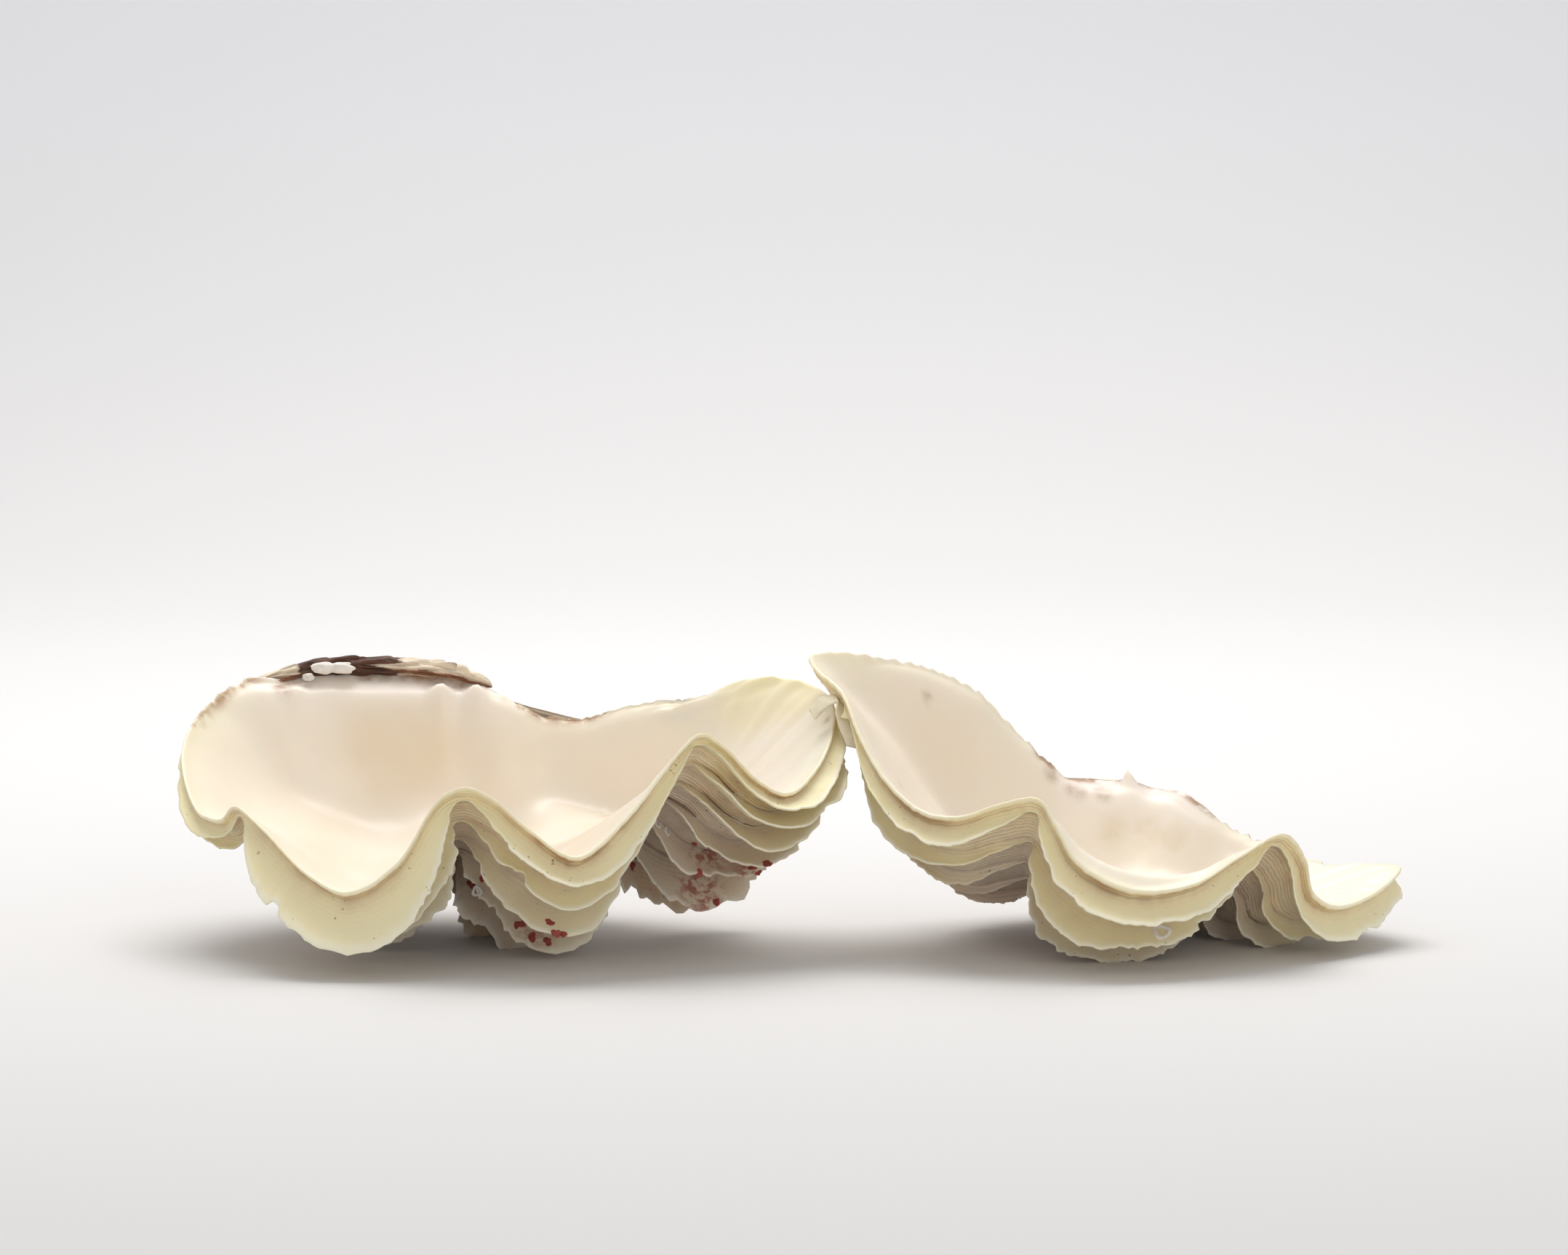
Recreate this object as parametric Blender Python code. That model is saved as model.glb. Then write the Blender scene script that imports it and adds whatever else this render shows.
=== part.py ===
"""Giant clam shell: both valves lying open, hollow side up, with the hinge ligament on one of them.

The two valves touch where their long ends meet. Sizes below are millimetres, made
into metres when the meshes are written.
The outside of a valve is its edge carried back through its growth: every older edge is the
same edge, smaller and turned about the hinge. At some stages the edge flared into a scale.
"""
import math

import bmesh
import bpy
import numpy as np
from mathutils import Vector
from mathutils.bvhtree import BVHTree

# driving dimensions, mm
COLUMNS = 56
FULL_TURN = math.radians(185.0)
FAR_TURN = math.radians(112.0)
HALF_LENGTH = 150.0
WALL_NEAR_LIP = 3.0
WALL_DEEP = 8.0
DEEP_FROM_LIP = 45.0
LEAST_WALL = 1.6
LIP_ROUND = 3.0
SCALE_EDGE = 1.1
SCALE_LEAST = 0.5
SCALE_ABOVE = math.radians(0.9)
SCALE_BELOW = math.radians(1.44)
REACH_POWER = 0.7
TO_METRES = 0.001

# the edge grew a little slower once the valve had turned this far, in radians
BELLY = 0.12
BELLY_FROM = 0.4
BELLY_OVER = 0.5

# beside the hinge, where it is between these two values, the outside lies this much lower
SINK = 10.0
SINK_RISES_BY = 0.35
SINK_FALLS_FROM = 0.5
SINK_FALLS_OVER = 0.45

# the plate inside the hinge: its width, its slope, and how steeply the wall falls beyond it
PLATE_FROM = 0.05
PLATE_WIDTH = 11.0
PLATE_SLOPE = 0.12
WALL_SLOPE = 3.0
SIDE_SLOPE = 16.0
SIDE_BELOW = 0.4

# rays that feel for the outside start this far above the edge; where they miss, it lies this far below
RAY_RISE = 25.0
MISSED_DROP = 2.0

# how strongly the hollow is evened out, round it and towards its middle
EVEN_ROUND = 1.6
EVEN_INWARD = 1.2
EVEN_INWARD_FROM = 0.15
EVEN_INWARD_MOST = 0.8

# points along the edge of each valve, going round: x, y, z, fold, hinge
# fold is 0 on the crest of a fold and 1 at the bottom of a rib, hinge is 1 on the hinge
LEFT_EDGE = (
    (-153, 47, 69, 0.00, 1.0),
    (-142, 49, 73, 0.00, 1.0),
    (-128, 50, 74, 0.00, 1.0),
    (-114, 50, 74, 0.00, 1.0),
    (-101, 50, 73, 0.00, 1.0),
    (-89, 47, 69, 0.00, 0.7),
    (-78, 46, 63, 0.00, 0.4),
    (-63, 45, 61, 0.00, 0.4),
    (-45, 42, 66, 0.10, 0.4),
    (-24, 36, 69, 0.20, 0.3),
    (-10, 28, 75, 0.35, 0.2),
    (3, 19, 75, 0.30, 0.1),
    (11, 4, 71, 0.05, 0.0),
    (10, -17, 63, 0.50, 0.0),
    (6, -31, 55, 0.90, 0.0),
    (0, -40, 50, 1.00, 0.0),
    (-9, -46, 55, 0.70, 0.0),
    (-18, -50, 65, 0.30, 0.0),
    (-25, -53, 69, 0.00, 0.0),
    (-32, -57, 63, 0.30, 0.0),
    (-45, -63, 47, 0.85, 0.0),
    (-59, -68, 36, 1.20, 0.0),
    (-72, -67, 43, 0.90, 0.0),
    (-83, -64, 52, 0.30, 0.0),
    (-92, -62, 55, 0.00, 0.0),
    (-100, -62, 50, 0.30, 0.0),
    (-110, -64, 34, 0.65, 0.0),
    (-124, -63, 25, 0.80, 0.0),
    (-137, -58, 30, 0.80, 0.0),
    (-150, -48, 41, 0.35, 0.0),
    (-159, -38, 46, 0.00, 0.0),
    (-164, -31, 41, 0.30, 0.0),
    (-172, -20, 42, 0.50, 0.0),
    (-178, -3, 51, 0.25, 0.0),
    (-179, 12, 59, 0.12, 0.0),
    (-174, 28, 67, 0.08, 0.2),
    (-164, 41, 71, 0.10, 0.6),
)
RIGHT_EDGE = (
    (125, 44, 35, 0.00, 1.0),
    (119, 47, 38, 0.00, 1.0),
    (112, 49, 39, 0.00, 1.0),
    (103, 50, 41, 0.00, 1.0),
    (92, 50, 42, 0.00, 1.0),
    (83, 48, 43, 0.00, 0.8),
    (77, 45, 49, 0.00, 0.5),
    (65, 41, 61, 0.00, 0.4),
    (55, 36, 71, 0.00, 0.4),
    (41, 31, 78, 0.00, 0.4),
    (25, 25, 82, 0.10, 0.3),
    (14, 18, 84, 0.05, 0.1),
    (6, 8, 84, 0.00, 0.0),
    (8, -4, 81, 0.00, 0.0),
    (15, -16, 76, 0.00, 0.0),
    (20, -28, 65, 0.30, 0.0),
    (27, -38, 54, 0.80, 0.0),
    (37, -46, 46, 1.00, 0.0),
    (48, -51, 45, 0.70, 0.0),
    (59, -54, 49, 0.30, 0.0),
    (70, -56, 51, 0.00, 0.0),
    (75, -59, 44, 0.40, 0.0),
    (82, -62, 33, 0.80, 0.0),
    (97, -64, 26, 1.00, 0.0),
    (114, -60, 27, 0.80, 0.0),
    (128, -53, 34, 0.40, 0.0),
    (141, -44, 39, 0.00, 0.0),
    (148, -38, 31, 0.40, 0.0),
    (151, -34, 20, 0.80, 0.0),
    (159, -28, 15, 1.00, 0.0),
    (171, -16, 17, 0.80, 0.0),
    (180, -2, 22, 0.50, 0.0),
    (175, 12, 21, 0.30, 0.1),
    (164, 24, 19, 0.10, 0.3),
    (148, 35, 23, 0.00, 0.4),
    (134, 41, 28, 0.00, 0.5),
)

# where the growth started, the way of the hinge, how fast the edge grew, and the hollow's middle
LEFT_UMBO = (-117.0, 53.0, 74.8)
LEFT_AXIS = (0.996, 0.0, 0.04)
LEFT_GROWTH = 2.5
LEFT_SPREAD = 0.55
LEFT_SKEW = 0.0
LEFT_UP = (-0.09, -0.20, 0.97)
LEFT_MIDDLE = (-92.0, -2.0, 62.0)
RIGHT_UMBO = (104.0, 53.0, 43.0)
RIGHT_AXIS = (0.93, 0.0, -0.37)
RIGHT_GROWTH = 3.15
RIGHT_SPREAD = 0.2
RIGHT_SKEW = 0.25
RIGHT_UP = (0.37, -0.03, 0.93)
RIGHT_MIDDLE = (96.0, -4.0, 48.0)

# scales: growth stage in degrees, length in mm, forward lean in degrees
LEFT_SCALES = (
    (2.5, 9.0, 40.0),
    (7.5, 10.0, 38.0),
    (14.0, 12.0, 34.0),
    (22.0, 13.0, 30.0),
    (32.0, 13.0, 26.0),
    (43.0, 12.0, 16.0),
)
RIGHT_SCALES = (
    (2.5, 8.0, 38.0),
    (8.0, 9.0, 36.0),
    (15.0, 9.0, 32.0),
    (24.0, 8.0, 28.0),
    (35.0, 6.0, 24.0),
    (46.0, 4.0, 16.0),
)
# older growth stages without scales, degrees
OLD_STAGES = (54.0, 68.0, 86.0, 108.0, 132.0, 158.0)
# stages of the plain outside in which rays feel for its depth, degrees
PLAIN_STAGES = (0, 1.5, 4, 7.5, 11, 15, 20, 26, 33, 41, 50, 60, 72, 86, 104, 125, 150)
# how far out each ring of the hollow lies, as a share of the way to the edge
RINGS = (0.985, 0.955, 0.9, 0.82, 0.72, 0.6, 0.46, 0.3, 0.15)
# hinge teeth: x, y, height, width
LEFT_TEETH = ((-150.0, 42.0, 3.0, 5.0), (-128.0, 38.0, 1.5, 9.0))
RIGHT_TEETH = ((103.0, 45.0, 3.5, 3.0), (116.0, 41.0, 2.0, 5.0))

# the ligament along its length: x, y, z, half its depth, half its height
LIGAMENT = (
    (-153.0, 50.5, 72.0, 1.0, 1.0),
    (-149.0, 51.0, 73.0, 2.6, 2.6),
    (-138.0, 52.0, 75.0, 3.8, 4.2),
    (-124.0, 52.5, 76.0, 4.2, 4.6),
    (-110.0, 52.5, 75.5, 4.0, 4.0),
    (-97.0, 51.5, 73.5, 3.4, 3.0),
    (-90.0, 50.0, 71.5, 1.0, 1.0),
)
LIGAMENT_CUTS = 17
LIGAMENT_SIDES = 10
LIGAMENT_GAP = 0.9
# the gap is kept this far along and across from each point, and each side lies a little higher
CLEAR_ALONG = 2.2
CLEAR_ACROSS = 1.2
SIDE_RISE = 0.008
SKY = 120.0

# how much of the lowest scales is worn flat
FOOT_DEPTH = 0.8
SHELL_COLOUR = (0.78, 0.70, 0.56)
SHELL_ROUGHNESS = 0.45
LIGAMENT_COLOUR = (0.09, 0.04, 0.02)
LIGAMENT_ROUGHNESS = 0.7


def unit(vectors):
    """Vectors made one long along the last axis."""
    size = np.linalg.norm(vectors, axis=-1, keepdims=True)
    return vectors / np.maximum(size, 1e-9)


def smooth_step(value):
    """Zero below 0, one above 1, smooth between."""
    value = np.clip(value, 0.0, 1.0)
    return value * value * (3.0 - 2.0 * value)


def closed_curve(points, count):
    """A smooth closed curve through the points, cut into count places; the hinge side gets fewer."""
    points = np.array(points, dtype=float)
    before = np.roll(points, 1, axis=0)
    after = np.roll(points, -1, axis=0)
    beyond = np.roll(points, -2, axis=0)
    steps = np.arange(24)[:, None, None] / 24.0
    curve = 0.5 * (
        2.0 * points
        + (after - before) * steps
        + (2.0 * before - 5.0 * points + 4.0 * after - beyond) * steps ** 2
        + (3.0 * points - before - 3.0 * after + beyond) * steps ** 3
    )
    curve = curve.transpose(1, 0, 2).reshape(-1, points.shape[1])
    curve = np.vstack([curve, curve[:1]])
    length = np.linalg.norm(np.diff(curve[:, :3], axis=0), axis=1)
    weight = 1.0 - 0.5 * np.clip(curve[:-1, 4], 0.0, 1.0)
    along = np.concatenate([[0.0], np.cumsum(length * weight)])
    places = np.arange(count) * along[-1] / count
    columns = [np.interp(places, along, curve[:, k]) for k in range(points.shape[1])]
    return np.stack(columns, axis=-1)


class Valve:
    """One half of the shell, worked out from its edge and how it grew."""

    def __init__(self, edge, umbo, axis, growth, spread, skew, up, middle, scales, teeth, count):
        self.curve = closed_curve(edge, count)
        self.edge = self.curve[:, :3]
        self.hinge = np.clip(self.curve[:, 4], 0.0, 1.0)
        self.reach = np.clip(self.curve[:, 3], 0.0, 1.5) ** REACH_POWER * (1.0 - self.hinge)
        self.umbo = np.array(umbo)
        self.axis = unit(np.array(axis))
        self.up = unit(np.array(up))
        self.middle = np.array(middle)
        self.scales = scales
        self.teeth = teeth
        rel = self.edge - self.umbo
        sideways = (rel @ self.axis) / HALF_LENGTH
        self.growth = growth * (1.0 - spread * sideways ** 2 + skew * sideways)
        beside = smooth_step(self.hinge / SINK_RISES_BY)
        beside *= 1.0 - smooth_step((self.hinge - SINK_FALLS_FROM) / SINK_FALLS_OVER)
        for _ in range(max(2, count // 16)):
            beside = (np.roll(beside, 1) + beside + np.roll(beside, -1)) / 3.0
        self.sink = SINK * beside
        self.flat = unit(np.cross(self.up, self.axis))
        self.long = np.cross(self.flat, self.up)

    def grown(self, stage):
        """The edge as it was at a growth stage (radians back from now)."""
        rel = self.edge - self.umbo
        lengthwise = (rel @ self.axis)[:, None] * self.axis
        across = rel - lengthwise
        turned = np.cross(self.axis, rel)
        belly = BELLY * float(smooth_step((stage - BELLY_FROM) / BELLY_OVER))
        size = ((1.0 - stage / FULL_TURN) ** (self.growth * (1.0 - belly)))[:, None]
        turn = FAR_TURN * math.tanh(stage / FAR_TURN)
        place = self.umbo + size * (lengthwise + across * math.cos(turn) + turned * math.sin(turn))
        drop = 4.0 * size[:, 0] * np.clip(1.0 - size[:, 0], 0.0, 1.0) * self.sink
        place[:, 2] -= drop
        return place

    def outward(self, stage):
        """Outward direction and the direction towards the edge, at a growth stage."""
        here = self.grown(stage)
        newer = self.grown(stage - 0.01)
        forward = unit(newer - here)
        around = unit(np.roll(here, -1, axis=0) - np.roll(here, 1, axis=0))
        normal = unit(np.cross(forward, around))
        if np.sum(normal * (here - self.middle)) < 0:
            normal = -normal
        for _ in range(max(2, len(here) // 40)):
            normal = unit(np.roll(normal, 1, axis=0) + normal + np.roll(normal, -1, axis=0))
        return normal, forward

    def outer_rows(self):
        """Rows of points on the outside, from the lip to the umbo, with the scales in them."""
        rows = []
        for degrees, length, lean in self.scales:
            stage = math.radians(degrees)
            lean = math.radians(lean)
            normal, forward = self.outward(stage)
            way = unit(normal * math.cos(lean) + forward * math.sin(lean))
            side = unit(np.cross(way, forward))
            across = unit(np.cross(side, way))
            across *= np.sign(np.sum(across * forward, axis=1))[:, None] * SCALE_EDGE / 2.0
            tip = self.grown(stage) + way * (SCALE_LEAST + length * self.reach)[:, None]
            rows.append(self.grown(stage - SCALE_ABOVE))
            rows.append(tip + across)
            rows.append(tip - across)
            rows.append(self.grown(stage + SCALE_BELOW))
        for degrees in OLD_STAGES:
            rows.append(self.grown(math.radians(degrees)))
        return rows

    def to_plan(self, places):
        """Places in the valve's own plan: lengthwise, crosswise and height."""
        rel = places - self.middle
        return np.stack([rel @ self.long, rel @ self.flat, rel @ self.up], axis=-1)

    def from_plan(self, plan):
        """The other way round."""
        return (
            self.middle
            + plan[..., 0:1] * self.long
            + plan[..., 1:2] * self.flat
            + plan[..., 2:3] * self.up
        )

    def base_tree(self):
        """The plain outside without scales, as a tree for finding its depth."""
        rows = [self.to_plan(self.grown(math.radians(degrees))) for degrees in PLAIN_STAGES]
        count = len(self.edge)
        points = [Vector(point) for row in rows for point in row]
        faces = []
        for j in range(len(rows) - 1):
            for i in range(count):
                k = (i + 1) % count
                faces.append((j * count + i, j * count + k, (j + 1) * count + k, (j + 1) * count + i))
        return BVHTree.FromPolygons(points, faces)

    def inner_rows(self):
        """Rows of points in the hollow, from the lip to its middle, and the middle point."""
        tree = self.base_tree()
        rim = self.to_plan(self.edge)
        down = Vector((0.0, 0.0, -1.0))
        wall = self.hinge > PLATE_FROM
        wall_rim = rim[wall]
        wall_hinge = self.hinge[wall]
        shelf = PLATE_WIDTH * wall_hinge
        slope = WALL_SLOPE + SIDE_SLOPE * np.clip(SIDE_BELOW - wall_hinge, 0.0, 1.0)
        count = len(rim)
        heights = []
        floors = []
        plans = []
        for ring in RINGS + (0.0,):
            plan = rim[:, :2] * ring
            gap = np.linalg.norm(rim[:, :2] - plan, axis=1)
            bevel = 1.0 - np.clip(gap / LIP_ROUND, 0.0, 1.0)
            round_off = np.sqrt(np.clip(1.0 - bevel ** 2, 0.0, 1.0))
            thick = WALL_NEAR_LIP * round_off
            thick += (WALL_DEEP - WALL_NEAR_LIP) * smooth_step(gap / DEEP_FROM_LIP)
            floor = np.empty(count)
            for i in range(count):
                start = Vector((plan[i, 0], plan[i, 1], rim[i, 2] + RAY_RISE))
                hit = tree.ray_cast(start, down)[0]
                floor[i] = rim[i, 2] - MISSED_DROP if hit is None else hit[2]
            away = np.linalg.norm(plan[:, None, :] - wall_rim[None, :, :2], axis=2)
            limit = wall_rim[:, 2] - PLATE_SLOPE * np.minimum(away, shelf)
            limit = limit - slope * np.maximum(away - shelf, 0.0)
            height = np.maximum(floor + thick, limit.max(axis=1))
            heights.append(height)
            floors.append(floor + LEAST_WALL * round_off)
            plans.append(plan)
        heights = self.smoothed(np.array(heights), np.array(floors))
        deepest = float(np.mean(heights[-1]))
        rows = []
        for plan, height in zip(plans[:-1], heights[:-1]):
            row = self.from_plan(np.column_stack([plan, height]))
            for x, y, tall, wide in self.teeth:
                near = (row[:, 0] - x) ** 2 + (row[:, 1] - y) ** 2
                row[:, 2] += tall * np.exp(-near / (wide * wide))
            rows.append(row)
        return rows, self.from_plan(np.array([0.0, 0.0, deepest]))

    def smoothed(self, heights, floors):
        """The hollow's heights evened out more and more towards its middle."""
        count = heights.shape[1]
        inward = 1.0 - np.array(RINGS + (0.0,))
        heights[-1] = heights[-1].mean()
        for _ in range(max(4, count // 6)):
            around = (np.roll(heights, 1, axis=1) + heights + np.roll(heights, -1, axis=1)) / 3.0
            share = np.clip(inward * EVEN_ROUND, 0.0, 1.0)[:, None]
            heights = heights + (around - heights) * share
            across = heights.copy()
            across[1:-1] = (heights[:-2] + 2.0 * heights[1:-1] + heights[2:]) / 4.0
            share = np.clip(inward * EVEN_INWARD - EVEN_INWARD_FROM, 0.0, EVEN_INWARD_MOST)[:, None]
            heights = heights + (across - heights) * share
            heights = np.maximum(heights, floors)
        return heights

    def mesh(self):
        """Points and faces of the whole valve, closed, standing on its worn lowest scales."""
        inner, pole = self.inner_rows()
        outer = self.outer_rows()
        rows = [row for row in reversed(inner)] + [self.edge] + outer
        count = len(self.edge)
        points = np.vstack([pole[None, :]] + rows + [outer[-1].mean(axis=0)[None, :]])
        points[:, 2] = np.maximum(points[:, 2] - FOOT_DEPTH, 0.0)
        last = len(points) - 1
        faces = [(0, 1 + i, 1 + (i + 1) % count) for i in range(count)]
        for j in range(len(rows) - 1):
            low = 1 + j * count
            for i in range(count):
                k = (i + 1) % count
                faces.append((low + i, low + count + i, low + count + k, low + k))
        low = 1 + (len(rows) - 1) * count
        faces += [(low + i, last, low + (i + 1) % count) for i in range(count)]
        return points, faces


def new_object(name, points, faces, shift, colour, rough):
    """A mesh object from points in mm, moved by the shift, with its own plain material."""
    shifted = (np.array(points) + shift) * TO_METRES
    mesh = bpy.data.meshes.new(name)
    mesh.from_pydata([tuple(point) for point in shifted], [], faces)
    body = bmesh.new()
    body.from_mesh(mesh)
    bmesh.ops.triangulate(body, faces=body.faces[:])
    bmesh.ops.recalc_face_normals(body, faces=body.faces[:])
    body.to_mesh(mesh)
    body.free()
    mesh.update()
    material = bpy.data.materials.new(name)
    material.use_nodes = True
    shader = material.node_tree.nodes["Principled BSDF"]
    shader.inputs["Base Color"].default_value = (*colour, 1.0)
    shader.inputs["Roughness"].default_value = rough
    mesh.materials.append(material)
    made = bpy.data.objects.new(name, mesh)
    bpy.context.collection.objects.link(made)
    return made


def ligament(valve_points, valve_faces):
    """The dried ligament: a low ridge lying on and behind the hinge of the left valve."""
    tree = BVHTree.FromPolygons([Vector(point) for point in valve_points], valve_faces)
    given = np.array(LIGAMENT)
    places = np.linspace(given[0, 0], given[-1, 0], LIGAMENT_CUTS)
    points = []
    sides = LIGAMENT_SIDES
    down = Vector((0.0, 0.0, -1.0))
    for x in places:
        y, z, deep, tall = [float(np.interp(x, given[:, 0], given[:, k])) for k in (1, 2, 3, 4)]
        for i in range(sides):
            turn = 2.0 * math.pi * i / sides
            beside = y + deep * math.cos(turn)
            high = z + tall * math.sin(turn)
            for aside in (-CLEAR_ALONG, 0.0, CLEAR_ALONG):
                for back in (-CLEAR_ACROSS, 0.0, CLEAR_ACROSS):
                    start = Vector((float(x) + aside, beside + back, SKY))
                    hit = tree.ray_cast(start, down)[0]
                    if hit is not None:
                        high = max(high, hit[2] + LIGAMENT_GAP + SIDE_RISE * i)
            points.append((x, beside, high))
    faces = [tuple(range(sides))]
    for j in range(LIGAMENT_CUTS - 1):
        for i in range(sides):
            k = (i + 1) % sides
            low = j * sides
            faces.append((low + i, low + sides + i, low + sides + k, low + k))
    faces.append(tuple(reversed(range(len(points) - sides, len(points)))))
    return points, faces


def main():
    """Clear the scene and make the three pieces."""
    for old in list(bpy.data.objects):
        bpy.data.objects.remove(old, do_unlink=True)
    left = Valve(
        LEFT_EDGE, LEFT_UMBO, LEFT_AXIS, LEFT_GROWTH, LEFT_SPREAD, LEFT_SKEW,
        LEFT_UP, LEFT_MIDDLE, LEFT_SCALES, LEFT_TEETH, COLUMNS,
    )
    right = Valve(
        RIGHT_EDGE, RIGHT_UMBO, RIGHT_AXIS, RIGHT_GROWTH, RIGHT_SPREAD, RIGHT_SKEW,
        RIGHT_UP, RIGHT_MIDDLE, RIGHT_SCALES, RIGHT_TEETH, COLUMNS,
    )
    left_mesh = left.mesh()
    pieces = (
        ("left_valve", left_mesh, SHELL_COLOUR, SHELL_ROUGHNESS),
        ("right_valve", right.mesh(), SHELL_COLOUR, SHELL_ROUGHNESS),
        ("hinge_ligament", ligament(*left_mesh), LIGAMENT_COLOUR, LIGAMENT_ROUGHNESS),
    )
    everything = np.vstack([np.array(points) for _, (points, _), _, _ in pieces])
    middle = (everything.min(axis=0) + everything.max(axis=0)) / 2.0
    shift = np.array((-middle[0], -middle[1], 0.0))
    for name, (points, faces), colour, rough in pieces:
        new_object(name, points, faces, shift, colour, rough)


main()
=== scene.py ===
"""Looks of a fluted giant clam shell: two open valves, hollow side up, and the dried hinge ligament."""
import logging
import math
import time
from dataclasses import dataclass, field
from enum import Enum

import bmesh
import bpy
import numpy as np
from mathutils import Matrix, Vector
from mathutils.bvhtree import BVHTree


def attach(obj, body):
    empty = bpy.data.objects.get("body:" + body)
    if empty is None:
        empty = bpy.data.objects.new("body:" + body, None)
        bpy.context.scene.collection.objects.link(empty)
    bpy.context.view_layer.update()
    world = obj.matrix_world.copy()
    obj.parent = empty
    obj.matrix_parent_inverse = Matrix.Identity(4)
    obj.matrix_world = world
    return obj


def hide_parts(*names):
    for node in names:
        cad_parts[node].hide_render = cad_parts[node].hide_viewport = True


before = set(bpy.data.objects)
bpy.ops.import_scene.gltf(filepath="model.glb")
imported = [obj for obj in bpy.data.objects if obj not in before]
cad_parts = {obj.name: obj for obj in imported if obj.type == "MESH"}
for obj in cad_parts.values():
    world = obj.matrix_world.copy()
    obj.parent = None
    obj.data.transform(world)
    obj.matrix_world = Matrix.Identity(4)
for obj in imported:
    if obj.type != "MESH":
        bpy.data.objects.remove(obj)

logging.basicConfig(level=logging.INFO, format="%(message)s")
log = logging.getLogger("clam shell")

STARTED = time.time()
MM = 0.001
# the shell is centred on its box and let down a little onto its worn lowest scales, mm
CENTRING = np.array((0.063, 7.026, -0.8))


class Node(Enum):
    """What a piece belongs to, by its node."""

    LEFT = "left_valve"
    RIGHT = "right_valve"
    LIGAMENT = "hinge_ligament"


def unit(vectors: np.ndarray) -> np.ndarray:
    """Vectors made one long along the last axis."""
    return vectors / np.maximum(np.linalg.norm(vectors, axis=-1, keepdims=True), 1e-9)


def smooth_step(value: np.ndarray) -> np.ndarray:
    """Zero below 0, one above 1, smooth between."""
    value = np.clip(value, 0.0, 1.0)
    return value * value * (3.0 - 2.0 * value)


def ripple(around: np.ndarray, slow: int, quick: int, seed: int) -> np.ndarray:
    """Closed random waves round an edge, about -1 to 1.

    Args:
        around: places round the edge, 0 to 1.
        slow: fewest waves in a round.
        quick: most waves in a round.
        seed: which set of waves.

    Returns:
        The waves' height at each place.
    """
    draw = np.random.default_rng(seed)
    total = np.zeros_like(around)
    for _ in range(14):
        waves = int(draw.integers(slow, quick + 1))
        phase = draw.uniform(0.0, 2.0 * math.pi)
        total += np.cos(2.0 * math.pi * waves * around + phase) * (slow / waves) ** 0.4
    return total / 3.4


def evened_round(values: np.ndarray, passes: int) -> np.ndarray:
    """Values round an edge, each evened out with its neighbours.

    Args:
        values: one for each column.
        passes: how many times.

    Returns:
        The new values.
    """
    for _ in range(passes):
        values = (np.roll(values, 1) + 2.0 * values + np.roll(values, -1)) / 4.0
    return values


# points along the edge of each valve, going round, mm: x, y, z, fold, hinge
# fold is 0 on the crest of a fold and 1 at the bottom of a rib, hinge is 1 on the hinge
LEFT_EDGE = (
    (-153, 47, 72.5, 0.00, 1.0),
    (-142, 49, 73.5, 0.00, 1.0),
    (-128, 50, 74, 0.00, 1.0),
    (-114, 50, 74, 0.00, 1.0),
    (-101, 50, 73, 0.00, 1.0),
    (-89, 47, 69, 0.00, 0.7),
    (-78, 46, 63, 0.00, 0.4),
    (-63, 45, 61, 0.00, 0.4),
    (-45, 42, 66, 0.10, 0.4),
    (-24, 36, 69, 0.20, 0.3),
    (-10, 28, 75, 0.35, 0.2),
    (4, 19, 75, 0.30, 0.1),
    (13, 4, 71, 0.05, 0.0),
    (12.5, -17, 63, 0.50, 0.0),
    (7.5, -31, 55, 0.90, 0.0),
    (0, -40, 50, 1.00, 0.0),
    (-9, -46, 55, 0.70, 0.0),
    (-18, -50, 65, 0.30, 0.0),
    (-25, -53, 69, 0.00, 0.0),
    (-32, -57, 63, 0.30, 0.0),
    (-45, -63, 47, 0.85, 0.0),
    (-59, -68, 36, 1.20, 0.0),
    (-72, -67, 43, 0.90, 0.0),
    (-83, -64, 52, 0.30, 0.0),
    (-92, -62, 55, 0.00, 0.0),
    (-100, -62, 50, 0.30, 0.0),
    (-110, -64, 34, 0.65, 0.0),
    (-124, -63, 25, 0.80, 0.0),
    (-137, -58, 30, 0.80, 0.0),
    (-150, -48, 41, 0.35, 0.0),
    (-159, -38, 46, 0.00, 0.0),
    (-164, -31, 41, 0.30, 0.0),
    (-172, -20, 42, 0.50, 0.0),
    (-178, -3, 51, 0.25, 0.0),
    (-179, 12, 59, 0.12, 0.0),
    (-174, 28, 67, 0.08, 0.2),
    (-164, 41, 73, 0.10, 0.6),
)
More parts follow.
